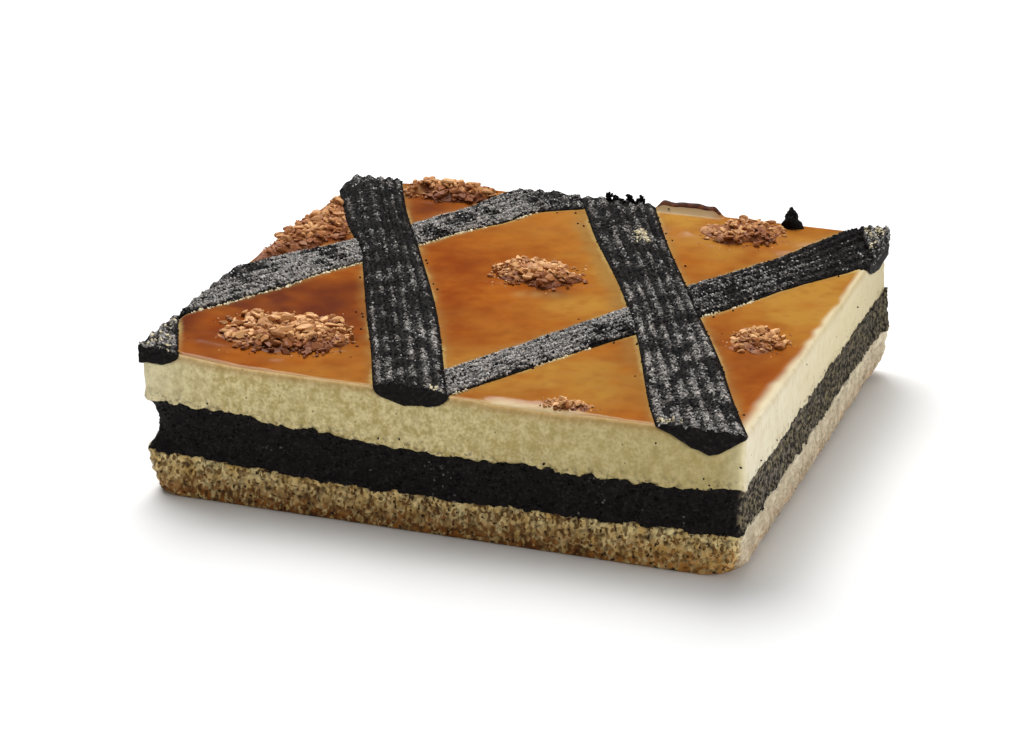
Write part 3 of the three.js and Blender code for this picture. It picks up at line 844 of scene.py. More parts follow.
# %% Finishes of the cheese
def cut_cheese_finish():
    finish = Finish("cut_cheese", {"Roughness": 0.55, "Specular IOR Level": 0.35})
    x = finish.along("X")
    y = finish.along("Y")
    cloud = finish.noise(14, 3)
    drag = finish.noise(2.4, 3, finish.stretched((1, 1, 0.3)))
    curd = finish.noise(1.1, 3)
    clump = finish.noise(3.4, 4)
    pale = finish.ramp(cloud, 0.3, 0.7, rgba(0.74, 0.65, 0.46), rgba(0.82, 0.76, 0.58))
    # painted shade: the short faces turn darker and yellower towards the back
    shaded_towards_back = finish.ramp(y, -0.09, 0.03, pale, rgba(0.66, 0.555, 0.31), 0.85)
    shaded_far_end = finish.ramp(y, 0.04, 0.1, shaded_towards_back, rgba(0.48, 0.40, 0.22), 0.7)
    mottle = finish.combine("ADD", clump, finish.combine("MULTIPLY", curd, 0.9))
    deep = finish.ramp(mottle, 0.76, 1.14, rgba(0.60, 0.455, 0.155), rgba(0.93, 0.79, 0.41))
    # painted shade darkens the long faces towards the right; painted light brightens their left end and their
    # right corner
    shaded = finish.ramp(x, 0.0, 0.1, deep, rgba(0.54, 0.42, 0.155), 0.65)
    painted_light_left_end = finish.ramp(x, -0.08, -0.108, shaded, rgba(0.98, 0.90, 0.60), 0.55)
    painted_light_right_corner = finish.ramp(x, 0.102, 0.110, painted_light_left_end, rgba(0.86, 0.78, 0.48), 0.6)
    # the yellower cream of the long faces is painted warm shade, and the whiter cream of the short faces is
    # painted light
    cream = finish.blend(finish.attribute("long_face"), shaded_far_end, painted_light_right_corner)
    dragged = finish.ramp(drag, 0.5, 0.8, cream, rgba(0.50, 0.39, 0.15), 0.5)
    patchy = finish.span(finish.noise(1.5, 5), 0.5, 0.66, 0.0, 0.8)
    dark_bits = finish.combine("MULTIPLY", finish.attribute("smear"), patchy)
    smeared = finish.blend(dark_bits, dragged, rgba(0.22, 0.16, 0.07))
    crusted = finish.blend(finish.attribute("crust"), smeared, rgba(0.56, 0.29, 0.08))
    dots = finish.span(finish.cells(4.2), 0.11, 0.06)
    speck = finish.combine("MULTIPLY", dots, finish.span(clump, 0.45, 0.6))
    finish.paint(finish.blend(speck, crusted, rgba(0.24, 0.15, 0.05)))
    finish.bump(finish.combine("ADD", curd, finish.combine("MULTIPLY", drag, 0.7)), 0.3, 0.5)
    return finish


def glaze_finish():
    finish = Finish("apricot_glaze", {
        "Roughness": 0.5,
        "Specular IOR Level": 0.0,
        "Coat Weight": 0.3,
        "Coat Roughness": 0.16,
        "Coat IOR": 1.4,
    })
    mottle = finish.noise(5, 4)
    drift = finish.combine("ADD", finish.noise(24, 4), finish.combine("MULTIPLY", finish.noise(9, 3), 0.6))
    orange = finish.ramp(drift, 0.62, 0.98, rgba(0.25, 0.049, 0.004), rgba(0.36, 0.102, 0.010))
    golden = finish.blend(finish.attribute("golden"), orange, rgba(0.41, 0.195, 0.031))
    # browned places, and one spot of painted shade by the middle heap
    browned = finish.blend(finish.attribute("browning"), golden, rgba(0.118, 0.025, 0.008))
    # lighter glaze beside the strips, and a painted highlight band beside the right strip
    haloed_and_highlit = finish.blend(finish.attribute("halo_and_highlight"), browned, rgba(0.30, 0.160, 0.040))
    spotted = finish.ramp(mottle, 0.5, 0.75, haloed_and_highlit, rgba(0.20, 0.050, 0.007), 0.3)
    # pale colour of thin glaze and bare curd, and of painted highlights where the glaze sags and by the
    # middle heap
    thin_and_highlit = finish.blend(finish.attribute("thin_glaze_and_highlight"), spotted, rgba(0.52, 0.40, 0.15))
    bare_and_highlight = finish.blend(finish.attribute("bare_and_highlight"), thin_and_highlit, rgba(0.72, 0.63, 0.42))
    finish.paint(finish.blend(finish.attribute("scorch"), bare_and_highlight, rgba(0.045, 0.014, 0.006)))
    finish.bump(finish.combine("ADD", mottle, finish.noise(1.6, 2)), 0.25, 0.25)
    return finish


def scorched_finish():
    finish = Finish("scorched_crust", {"Roughness": 0.6, "Specular IOR Level": 0.15})
    blister = finish.noise(2.2, 4)
    finish.paint(finish.ramp(blister, 0.35, 0.65, rgba(0.030, 0.009, 0.004), rgba(0.15, 0.040, 0.012)))
    finish.bump(blister, 0.4, 0.7)
    return finish


CUT, GLAZED, SCORCHED = range(3)
cheese_finishes = [cut_cheese_finish(), glaze_finish(), scorched_finish()]
print([finish.material.name for finish in cheese_finishes])

# %% [markdown]
# The top of the cheese is a height field: it follows the rim, ripples a little, swells to a lip of glaze
# round each nut heap, and dips into a groove under each strip. So it has to know where the heaps and the
# strips are. A heap's rim is an oval with a few bays in it.

# %% Form of the top
# The nut heaps: their middles, half sizes and numbers of chopped pieces
HEAPS = {
    "nut_heap_middle": (-4, 20, 17, 14.5, 200),
    "nut_heap_front_left": (-69, -67, 25, 20.5, 330),
    "nut_heap_right": (92, -17, 10.5, 12, 125),
    "nut_heap_back_right": (57, 86, 17, 13, 150),
    "nut_heap_back_left": (-66, 91.5, 26, 9.5, 190),
    "nut_heap_front": (46.5, -95, 9, 4.5, 50),
    "nut_heap_left": (-102, 37, 14, 54, 520),
}
GROOVE_SHARE = 0.75  # the groove is shallower than the strip, so no gap shows beside it
GROOVE_NARROWING = 1.06
STRIP_DIP = 0.12  # the glaze is drawn down a little beside the strips
LIP_HEIGHT = 0.3
LIP_WIDTH = 0.12  # as a share of the heap's half size


def face_inset(x, y):
    """The distance to the nearest cut face."""
    return np.minimum(HALF[0] - np.abs(x), HALF[1] - np.abs(y))


def strip_gap(x, y):
    """The distance to the nearest strip, negative inside one."""
    return np.min([line.gap(x, y) for line in lines.values()], axis=0)


def heap_away(name, x, y):
    """0 at a heap's middle and 1 at its ragged rim."""
    middle_x, middle_y, reach_x, reach_y, _ = HEAPS[name]
    aside_x = (x - middle_x) / reach_x
    aside_y = (y - middle_y) / reach_y
    angle = np.arctan2(aside_y, aside_x)
    rim = 1 + 0.15 * np.sin(2 * angle + middle_x) + 0.12 * np.sin(5 * angle + middle_y)
    return np.hypot(aside_x, aside_y) / rim


def cheese_top(x, y):
    """The height of the cheese's top with all its unevenness."""
    flat = flat_points(x, y)
    inset = face_inset(x, y)
    height = top_height(x, y) + 0.22 * swell(flat, 17, 51) + 0.1 * swell(flat, 5, 52)
    height -= STRIP_DIP * (1 - ease(strip_gap(x, y), 0, 3.5)) * ease(inset, 2, 8)
    lip = np.clip(0.5 * swell(flat, 8, 53), 0, LIP_HEIGHT)
    for name in HEAPS:
        from_rim = (heap_away(name, x, y) - 1.02) / LIP_WIDTH
        height += lip * np.exp(-(from_rim ** 2)) * ease(inset, 2, 8)
    for line in lines.values():
        q, t = line.find(x, y)
        height -= GROOVE_SHARE * line.sunk(q * GROOVE_NARROWING, t) * ease(inset, 1, 5)
    return height


sample_x = np.linspace(-40, 40, 5)
print("top along the middle", np.round(cheese_top(sample_x, np.zeros(5)), 1), "mm")

# %% [markdown]
# The glaze is uneven in several ways. The oven browned it most at the left, and it is golden where it lies
# thick. It thins out to pale curd beside the strips and along the front edge, and has run off the right edge.
# Pale colour is painted as highlights where the glaze sags at the front, in front of the middle heap and in a
# band beside the right strip, and one browned spot is painted shade at the front right of the middle heap.
# Each of these becomes a number from 0 to 1 on the mesh's points, which the finish turns into colour. Soft
# round spots put the browned, golden and highlighted places where they should be.

# %% How the glaze varies
# Browned places, one of them painted shade, golden places and painted highlight spots: x, y, reach and
# strength
BROWN_AND_SHADE_SPOTS = [
    (-95, -40, 40, 1.0),
    (-102, -76, 24, 0.8),
    (-70, -36, 34, 0.9),
    (-40, 18, 26, 0.25),
    (76, -42, 26, 0.55),
    (62, -64, 18, 0.3),
    (-92, 62, 40, 0.9),
    (-66, 88, 30, 0.2),
    # painted shade at the front right of the middle heap
    (6, 7, 8, 0.7),
    (-87, 26, 14, 1.0),
    (-22, -28, 17, 0.22),
]
GOLD_SPOTS = [
    (104, 20, 34, 1.0),
    (100, 62, 40, 1.0),
    (50, 78, 38, 0.62),
    (18, -74, 35, 0.85),
    (52, -68, 26, 1.0),
    (26, -4, 22, 0.85),
    (10, -10, 16, 0.35),
    (24, 40, 30, 0.75),
    (-10, 74, 30, 0.5),
    (-40, -92, 30, 0.35),
    (31, 95, 14, 1.0),
]
# painted highlights: a pale streak in front of the middle heap
HIGHLIGHT_SPOTS = [(-4, -0.5, 3.0, 0.2), (2, 1.0, 3.0, 0.22), (8, 3.0, 3.0, 0.18)]


def spots(places, x, y):
    """The strongest of some soft round spots."""
    strongest = np.zeros(len(x))
    for spot_x, spot_y, reach, strength in places:
        away = np.hypot(x - spot_x, y - spot_y) / reach
        strongest = np.maximum(strongest, strength * np.exp(-away * away))
    return strongest


def thin_glaze_and_highlight(x, y, ragged):
    """Where the glaze lies thinly, in patches beside the strips and along the front edge, and painted
    highlights where it sags and by the middle heap.
    """
    patchy = np.clip(0.5 + 0.8 * swell(flat_points(x, y), 13, 58), 0.1, 1)
    beside_strip = 1 - ease(strip_gap(x, y) + 0.7 * ragged, 0.1, 1.4)
    sagging = sag_share(x)
    # where the glaze sags the pale band is wider and stronger: a painted highlight
    beside_front = 1 - ease(y + HALF[1] + 0.7 * ragged, 1.2, 3.6 + 4 * sagging)
    thin_and_highlit = np.maximum(0.6 * patchy * beside_strip, (0.4 + 0.25 * sagging) * beside_front)
    return np.clip(np.maximum(thin_and_highlit, spots(HIGHLIGHT_SPOTS, x, y)), 0, 1)


def bare_curd_and_highlight(x, y, ripple, ragged):
    """Where pale curd shows, along the right edge and on the flake's face, and a painted highlight where the
    glaze sags.
    """
    band = 1.5 + 2.8 * ease(-y, -40, 100)  # wider towards the front
    beside_right = 1 - ease(HALF[0] - x + 0.8 * ripple, 0.3 * band, 1.3 * band + 1.2)
    below_flake = 0.45 * flake_share(x) * (1 - ease(HALF[1] - y, 4.6, 6.2))
    # painted highlight: pale curd colour where the glaze sags
    painted_sag_highlight = 0.22 * sag_share(x) * (1 - ease(y + HALF[1] + 0.9 * ragged, 2.8, 7.2))
    return np.max([beside_right, below_flake, painted_sag_highlight], axis=0)


def pale_halo_and_highlight(x, y, ragged):
    """Where the glaze is lighter beside the strips, and a painted highlight in a wider band along the left of
    the right one.
    """
    off_corner = ease(lines["poppy_strip_left_corner"].find(x, y)[0], 1.5, 2.5)
    narrow = 0.45 * off_corner * (1 - ease(strip_gap(x, y) + ragged, 0.5, 4.0))
    right = lines["poppy_strip_right"]
    at_left = right.find(x, y)[0] < 0
    # painted highlight: a broad pale band along the left of the right strip
    painted_highlight_band = 0.85 * (1 - ease(right.gap(x, y) + 1.5 * ragged, 1.5, 9.0)) * at_left * ease(y, -70, -20)
    return np.maximum(narrow, painted_highlight_band)


def glaze_values(x, y):
    """The numbers that the glaze's finish reads."""
    flat = flat_points(x, y)
    ripple = swell(flat, 6, 55)
    ragged = 0.9 * ripple + 0.5 * swell(flat, 2.2, 56)
    uneven = 1 + 0.45 * swell(flat, 11, 57) + 0.3 * swell(flat, 5, 59)
    brown_and_shade = np.clip(spots(BROWN_AND_SHADE_SPOTS, x, y) * uneven, 0, 1)
    return {
        "thin_glaze_and_highlight": thin_glaze_and_highlight(x, y, ragged),
        "bare_and_highlight": bare_curd_and_highlight(x, y, ripple, ragged),
        "browning": brown_and_shade,
        "golden": np.clip(spots(GOLD_SPOTS, x, y) * uneven, 0, 1),
        "halo_and_highlight": pale_halo_and_highlight(x, y, ragged) * (1 - 0.6 * brown_and_shade),
        "scorch": ease(flake_share(x), 0, 0.4) * (1 - ease(HALF[1] - y, 2.8, 3.5)),
    }


print(len(BROWN_AND_SHADE_SPOTS), "browned and", len(GOLD_SPOTS), "golden places")

# %% [markdown]
# The mesh of the cheese is a stack for the sides, whose last ring is also the border of a grid for the top.
# The cut faces have curds and pores as relief. Where a strip's end shows in a cut face, the curd is pushed
# back so that it can't come through the strip. Four rings round off the top edge.

# %% Cheese layer
CHEESE_STEPS = (222, 204)
CHEESE_ROWS = 20
CHEESE_SHARES = [0.0, 0.35, 0.7, 1.0]
CHEESE_INSETS = [0.5, 0.6, 0.5, 0.26]
EDGE_ANGLES = np.radians([20, 40, 60, 76])
STAND_BACK = 2.0  # the curd stands back this far behind the end of a strip


def depth_in_strips(points):
    """How far points lie above the underside of a strip, negative where they are outside."""
    below = top_height(points[:, 0], points[:, 1]) - points[:, 2]
    sunk = np.zeros(len(points))
    for line in lines.values():
        sunk = np.maximum(sunk, line.sunk(*line.find(points[:, 0], points[:, 1])))
    return sunk - below


def stand_back(points):
    return STAND_BACK * ease(depth_in_strips(points), 0.1, 0.9)


def cheese_sides(facing):
    """The rings of the sides from below, and how crusted and how smeared each point is."""
    low = meeting_edge(ring(CHEESE_STEPS, EDGE_INSET), poppy_top, POPPY_EDGE_SEED)
    browned = 1 - 0.85 * np.clip(facing[:, 0], 0, 1)  # the right face has hardly any crust
    inner = ring(CHEESE_STEPS, FLAT_INSET, FLAT_RADIUS)
    none = np.zeros(len(inner))
    rows = [np.column_stack([inner, none + POPPY_TOP])]
    crust = [none]
    smear = [none + 1]
    for share in np.linspace(0, 1, CHEESE_ROWS):
        plan = ring(CHEESE_STEPS, np.interp(share, CHEESE_SHARES, CHEESE_INSETS))
        high = top_height(*plan.T) - TOP_EDGE_DROP
        points = np.column_stack([plan, low + share * (high - low)])
        pores = np.clip(lumps(points, 4.0, 41) - 0.78, 0, 1) * 4
        curds = lumps(points, 3.2, 42) - 0.45
        push = 0.5 * curds + 0.18 * swell(points, 2.2, 43) + 0.4 * swell(points, 16, 44) - 0.7 * pores
        push = push * (1 - share ** 6) - stand_back(points)
        points[:, :2] += push[:, None] * outward(plan)
        rows.append(points)
        crust.append(0.3 * ease(share, 0.9, 1.0) * browned)
        smear.append(none + 1 - ease(share, 0.02, 0.3))
    edge_start = CHEESE_INSETS[-1]
    for angle in EDGE_ANGLES:
        plan = ring(CHEESE_STEPS, edge_start + (TOP_EDGE_INSET - edge_start) * (1 - math.cos(angle)))
        height = top_height(*plan.T) - TOP_EDGE_DROP * (1 - math.sin(angle))
        points = np.column_stack([plan, height])
        points[:, :2] -= stand_back(points)[:, None] * outward(plan)
        rows.append(points)
        crust.append((0.3 + 0.4 * math.sin(angle)) * browned)
        smear.append(none)
    border = ring(CHEESE_STEPS, TOP_EDGE_INSET)
    rows.append(np.column_stack([border, cheese_top(*border.T)]))
    return rows, crust + [0.8 * browned], smear + [none]


def grid_index(steps, ring_start, inner_start):
    """Point numbers of a grid whose border is a ring and whose inside is numbered row by row."""
    across, deep = steps
    index = np.empty((deep + 1, across + 1), int)
    order = ring_start + np.arange(2 * (across + deep))
    index[0, :-1] = order[:across]
    index[:-1, -1] = order[across:across + deep]
    index[-1, :0:-1] = order[across + deep:2 * across + deep]
    index[:0:-1, 0] = order[2 * across + deep:]
    inside = (across - 1) * (deep - 1)
    index[1:-1, 1:-1] = inner_start + np.arange(inside).reshape(deep - 1, across - 1)
    return index


def cheese_grid():
    """Points of the top inside its border."""
    half = HALF - TOP_EDGE_INSET
    grid_x = np.linspace(-half[0], half[0], CHEESE_STEPS[0] + 1)[1:-1]
    grid_y = np.linspace(-half[1], half[1], CHEESE_STEPS[1] + 1)[1:-1]
    plan = np.stack(np.meshgrid(grid_x, grid_y), axis=-1).reshape(-1, 2)
    plan = round_corners(plan, half, CORNER_RADIUS)
    return np.column_stack([plan, cheese_top(*plan.T)])


def cheese_layer():
    facing = outward(ring(CHEESE_STEPS, EDGE_INSET))
    rows, crust, smear = cheese_sides(facing)
    top = cheese_grid()
    points = np.concatenate(rows + [top])
    count = len(facing)
    sides = stack_quads(len(rows), count)
    cells = grid_quads(grid_index(CHEESE_STEPS, (len(rows) - 1) * count, len(rows) * count))
    underside = end_faces(len(rows), count)[0]
    values = glaze_values(*points[:, :2].T)
    finish_of = np.full(len(sides) + len(cells) + 1, CUT)
    finish_of[(len(rows) - 3) * count:len(sides)] = GLAZED  # the upper part of the rounded edge
    finish_of[len(sides):-1] = np.where(values["scorch"][cells].mean(axis=1) > 0.4, SCORCHED, GLAZED)
    faces = sides.tolist() + cells.tolist() + [underside]
    piece = make_piece("cheese_curd", points, faces, cheese_finishes, finish_of)
    for name, numbers in values.items():
        note_values(piece, name, numbers)
    top_zeros = [np.zeros(len(top))]
    note_values(piece, "long_face", np.concatenate([np.abs(facing[:, 1])] * len(rows) + top_zeros))
    note_values(piece, "crust", np.concatenate(crust + top_zeros))
    note_values(piece, "smear", np.concatenate(smear + top_zeros))
    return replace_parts(piece, "cheese_layer")


cheese_piece = cheese_layer()
print(cheese_piece.name, len(cheese_piece.data.polygons), "faces")

# %% [markdown]
# ## The poppy strips
# The lattice was piped through a notched nozzle, so each strip has fine ridges along it. Damp seeds shine on
# the crests, in patches, and the lower strips shine most. Gloss alone gives too few glints under soft light,
# so a painted sheen is also a number on the points, which turns the black paste slate grey: a painted
# highlight on the crests and in patches, brighter at one end of each strip. The creases between the seeds get
# painted shade.

# %% Finish of the strips
def strip_finish():
    finish = Finish("poppy_strip_paste", {"Roughness": 0.55, "Specular IOR Level": 0.04})
    painted_sheen = finish.attribute("painted_sheen")
    seeds = finish.cells(1.0)
    patch = finish.noise(7, 3)
    paste = finish.ramp(patch, 0.3, 0.7, rgba(0.004, 0.0035, 0.0035), rgba(0.010, 0.009, 0.009))
    # painted sheen: the paste turns slate grey where the strip should shine, most on the ridge crests
    slate = finish.blend(painted_sheen, rgba(0.013, 0.011, 0.010), rgba(0.56, 0.51, 0.465))
    seedy = finish.ramp(finish.cells(1.0, "Color"), 0.3, 0.8, paste, slate)
    # painted shade in the creases between seeds, weaker where sheen is painted
    crease_shade_strength = finish.span(painted_sheen, 0.3, 1.0, 1.0, 0.35)
    seed_crease_shade = finish.combine("MULTIPLY", finish.span(seeds, 0.38, 0.7), crease_shade_strength)
    finish.paint(finish.blend(seed_crease_shade, seedy, rgba(0.003, 0.0027, 0.0027)))
    finish.bump(finish.combine("MULTIPLY", seeds, -1.0), 0.4, 0.8)
    return finish


RIDGES = 6
# How much the seeds of each strip shine, and how much sheen is painted on its paste
SHINE_AND_SHEEN = {
    "poppy_strip_left_corner": 6.0,
    "poppy_strip_left": 0.92,
    "poppy_strip_right": 1.65,
    "poppy_strip_right_corner": 4.0,
    "poppy_strip_cross_back": 6.0,
    "poppy_strip_cross_front": 5.0,
}


def ridge_wave(q):
    """1 on the crest of each ridge and 0 in the valleys."""
    return 0.5 - 0.5 * np.cos(math.pi * RIDGES * (q + 1))


def strip_shine_and_sheen(name, points):
    """How much a strip shines and how much sheen is painted on it: mostly on its ridges, in patches, and more
    at one end.
    """
    upper = name in upper_names
    x, y = points[:, 0], points[:, 1]
    q, _ = lines[name].find(x, y)
    blotch = 1.3 if upper else 0.8
    patch = np.clip(0.8 + 0.8 * swell(points, 13, 73) + blotch * swell(points, 5, 74), 0.05, 2.6)
    inside = 1 - ease(np.abs(q), 0.82, 0.98)
    # the painted sheen is brighter towards the front of the upper strips and the left of the lower ones
    if upper:
        valley = 0.12
        end = 1.45 - 0.95 * ease(y, -70, 50) + 0.9 * ease(y, 88, 98)
    else:
        valley = 0.4
        end = (1.35 - 1.2 * ease(x, -10, 66)) * (1 - 0.85 * ease(y, 72, 92))
        end *= (1 - 0.75 * ease(-x, 82, 104)) * (1 - 0.7 * ease(x, 78, 92))
    return SHINE_AND_SHEEN[name] * end * patch * inside * (valley + (1 - valley) * ridge_wave(q) ** 1.5)


strip_paste = strip_finish()
print(strip_paste.material.name, "has", len(strip_paste.nodes), "nodes")

# %% [markdown]
# The mesh of a strip is a grid of places across and along it, once for the ridged crown and once for the sunk
# underside, with a small ragged grid at each end for the cut. Each lengthwise line of points runs from the
# face where it enters the block to the one where it leaves, so a slanting strip ends flush with the cut face.
# Points that meet at the edges are merged. The cut ends take the filling's finish, which is the same paste.

# %% Poppy strips
RIDGE_HEIGHT = 1.1
ACROSS_STEPS = 44
ALONG_STEP = 0.9
END_STEPS = 12
END_PROUD = 0.3  # the cut ends stand out a little from the cheese
STRIP_ENDS = HALF + END_PROUD
UNDER_CLEARANCE = 0.2  # between a lower strip and the upper one over it
MERGE_DISTANCE = 0.004


def span_in_block(line, q):
    """Where lines at q enter and leave the block, found in a few rounds because strips wander."""
    enter = np.full(len(q), -HALF[1])
    leave = np.full(len(q), HALF[1])
    for _ in range(8):
        bounds = []
        for t in (enter, leave):
            sideways = (line.middle(t) + q * line.half_width(t, q))[:, None] * line.across
            near = (-STRIP_ENDS - sideways) / line.along
            far = (STRIP_ENDS - sideways) / line.along
            bounds.append((np.minimum(near, far).max(axis=1), np.maximum(near, far).min(axis=1)))
        enter, leave = bounds[0][0], bounds[1][1]
    return enter, leave


def strip_crown(line, q, t):
    """The top of a strip at q and t, as points."""
    plan = np.clip(line.plan(q, t), -STRIP_ENDS, STRIP_ENDS)
    flat = flat_points(*plan.reshape(-1, 2).T)
    uneven = 0.3 * swell(flat, 5, 61) + 0.35 * (lumps(flat, 1.2, 62) - 0.4)
    edge = 1 - q ** 4
    crown = (STRIP_PROUD + CROSSING_LIFT * line.rise(t)) * edge
    crown = crown + (RIDGE_HEIGHT * ridge_wave(q) + uneven.reshape(q.shape)) * np.sqrt(edge)
    ground = top_height(plan[..., 0], plan[..., 1])
    height = ground + crown
    if line in lower_lines:
        for over in upper_lines:
            over_q, over_t = over.find(plan[..., 0], plan[..., 1])
            ceiling = ground - over.sunk(over_q, over_t) - UNDER_CLEARANCE
            height = np.where(np.abs(over_q) < 1, np.minimum(height, ceiling), height)
    return np.concatenate([plan, height[..., None]], axis=-1)


def cut_end(under, top, q):
    """A ragged grid of points between the underside and the crown at one end of a strip."""
    up = np.linspace(0, 1, END_STEPS + 1)[:, None, None]
    grid = under + up * (top - under)
    points = grid.reshape(-1, 3)
    ragged = 0.8 * (lumps(points, 1.4, 63) - 0.5) + 0.5 * swell(points, 4, 64)
    within = (4 * up * (1 - up))[..., 0] * np.sqrt(1 - np.clip(q * q, 0, 1))
    facing = np.abs(grid[..., :2]) > STRIP_ENDS - 0.01
    grid[..., :2] += (ragged.reshape(within.shape) * within)[..., None] * facing * np.sign(grid[..., :2])
    return grid


def strip_mesh(line):
    """Points of a strip, and the quads of its crown, its underside and its two cut ends."""
    q = np.linspace(-1, 1, 8 * ACROSS_STEPS + 1)
    enter, leave = span_in_block(line, q)
    inside = q[leave > enter]
    q = np.linspace(inside[0], inside[-1], ACROSS_STEPS + 1)
    enter, leave = span_in_block(line, q)
    steps = int(np.max(leave - enter) / ALONG_STEP)
    t = enter + np.linspace(0, 1, steps + 1)[:, None] * (leave - enter)
    across = np.broadcast_to(q, t.shape)
    top = strip_crown(line, across, t)
    under = top.copy()
    ground = top_height(top[..., 0], top[..., 1])
    under[..., 2] = np.minimum(ground - line.sunk(across, t), top[..., 2])
    grids = [top, under, cut_end(under[0], top[0], q), cut_end(under[-1], top[-1], q)]
    quads = []
    start = 0
    for grid, flip in zip(grids, (False, True, False, True)):
        size = grid.shape[0] * grid.shape[1]
        part = grid_quads(start + np.arange(size).reshape(grid.shape[:2]))
        quads.append(part[:, ::-1] if flip else part)
        start += size
    return np.concatenate([grid.reshape(-1, 3) for grid in grids]), quads


def merge_edges(mesh):
    """Joins points that lie on each other, and turns all faces outwards."""
    joined = bmesh.new()
    joined.from_mesh(mesh)
    bmesh.ops.remove_doubles(joined, verts=joined.verts, dist=MERGE_DISTANCE * MM)
    bmesh.ops.recalc_face_normals(joined, faces=joined.faces)
    joined.to_mesh(mesh)
    joined.free()


def strip_piece(name):
    """A strip's piece, with its points and the quads of its crown and its cut ends."""
    points, quads = strip_mesh(lines[name])
    cut = np.concatenate([np.full(len(part), number > 1) for number, part in enumerate(quads)])
    faces = np.concatenate(quads).tolist()
    finishes = [strip_paste, filling_paste]
    piece = make_piece(name + "_piped", points, faces, finishes, cut)
    note_values(piece, "painted_sheen", np.clip(0.5 * strip_shine_and_sheen(name, points), 0, 1))
    note_values(piece, "free_of_smear_and_sheen", np.ones(len(points)))
    merge_edges(piece.data)
    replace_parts(piece, name)
    print(piece.name, len(piece.data.polygons), "faces")
    return points, quads[0], np.concatenate(quads[2:])


strip_surfaces = {name: strip_piece(name) for name in lines}

# %% [markdown]
# ## Poppy seeds
# Up close the dark pieces are thousands of seeds, about a millimetre long, and each catches its own small
# glint. Instances would be dropped when the model is saved as plain meshes, so the seeds are copied as arrays
# into one joined mesh for each place. A seed is a squashed icosahedron of twenty triangles, enough at this
# size. A wet seed is glossy and grey, a dull one black.

# %% Making seeds
def wet_glinting_seed_finish():
    finish = Finish("poppy_seed_wet_glint", {"Roughness": 0.2, "Specular IOR Level": 0.6, "IOR": 1.5})
    # a wet seed's paler tones are partly its own slate grey and partly a painted glint
    finish.paint(finish.blend(finish.attribute("tone"), rgba(0.034, 0.030, 0.028), rgba(0.46, 0.44, 0.42)))
    return finish


def dull_seed_finish():
    finish = Finish("poppy_seed_dull", {"Roughness": 0.6, "Specular IOR Level": 0.05})
    tone = finish.attribute("tone")
    finish.paint(finish.blend(tone, rgba(0.004, 0.0035, 0.0035), rgba(0.022, 0.020, 0.020)))
    return finish


def icosphere(subdivisions):
    """Points and triangles of a unit sphere."""
    ball = bmesh.new()
    bmesh.ops.create_icosphere(ball, subdivisions=subdivisions, radius=1.0)
    ball.verts.ensure_lookup_table()
    points = np.array([vertex.co[:] for vertex in ball.verts])
    triangles = np.array([[vertex.index for vertex in face.verts] for face in ball.faces])
    ball.free()
    return points, triangles


def tumbled(count, random):
    """Random turns, as matrices."""
    raw = random.normal(size=(4, count))
    w, x, y, z = raw / np.linalg.norm(raw, axis=0)
    rows = [
        [1 - 2 * (y * y + z * z), 2 * (x * y - z * w), 2 * (x * z + y * w)],
        [2 * (x * y + z * w), 1 - 2 * (x * x + z * z), 2 * (y * z - x * w)],
        [2 * (x * z - y * w), 2 * (y * z + x * w), 1 - 2 * (x * x + y * y)],
    ]
    return np.moveaxis(np.array(rows), 2, 0)


SEED_RADII = np.array([0.58, 0.44, 0.38])
SEED_SIZES = (0.8, 1.15)
SEED_LIFT = -0.05  # the middle of a seed lies a little below the surface
seed_points, seed_triangles = icosphere(1)
seed_skins = [dull_seed_finish(), wet_glinting_seed_finish()]


def copied_triangles(count):
    """The triangles of so many seeds in one mesh."""
    firsts = np.arange(count)[:, None, None] * len(seed_points)
    return (seed_triangles[None] + firsts).reshape(-1, 3).tolist()


def seed_piece(name, places, normals, tone, wet, random):
    """Seeds at some places, joined into one piece."""
    count = len(places)
    sizes = SEED_RADII * random.uniform(*SEED_SIZES, (count, 1))
    shaped = seed_points[None] * sizes[:, None]
    turned = np.einsum("nij,nkj->nki", tumbled(count, random), shaped)
    points = (turned + (places + SEED_LIFT * normals)[:, None]).reshape(-1, 3)
    skins = np.repeat(wet, len(seed_triangles))
    piece = make_piece(name, points, copied_triangles(count), seed_skins, skins, False)
    note_values(piece, "tone", np.repeat(tone, len(seed_points)))
    print(name, count, "seeds")


print("a seed has", len(seed_triangles), "triangles")

# %% [markdown]
# On the strips the wet seeds lie where the strip shines. Of the others only some are laid, since the paste's
# own relief shows the rest, and none where an upper strip covers a lower one. The filling has moist patches.
# Its right face is left almost bare, because the knife wiped it.

# %% Laying seeds
UPPER_DENSITY = 0.8  # seeds to the square millimetre
LOWER_DENSITY = 1.1
FILLING_DENSITY = 0.3
WET_SHARE = 0.6  # of the seeds where a strip shines fully
DULL_SHARE = 0.35
RIGHT_FACE = 0.6  # a face that looks at least this much to the right
RIGHT_FACE_SHARE = 0.03
MOIST_SHARE = 0.45
SEEDED_ENDS = ["poppy_strip_right_corner"]  # strips with seeds on their cut ends too
seed_random = np.random.default_rng(71)


def scatter(points, quads, density, random):
    """Random places on quads, so many to the square millimetre, with the way that the surface faces."""
    a, b, c, d = (points[quads[:, k]] for k in range(4))
    normal = np.cross(c - a, d - b)
    area = np.linalg.norm(normal, axis=1) / 2
    count = int(area.sum() * density)
    chosen = random.choice(len(quads), count, p=area / area.sum())
    u, v = random.random((2, count, 1))
    a, b, c, d = a[chosen], b[chosen], c[chosen], d[chosen]
    places = (1 - u) * ((1 - v) * a + v * d) + u * ((1 - v) * b + v * c)
    return places, normal[chosen] / (2 * area[chosen, None])


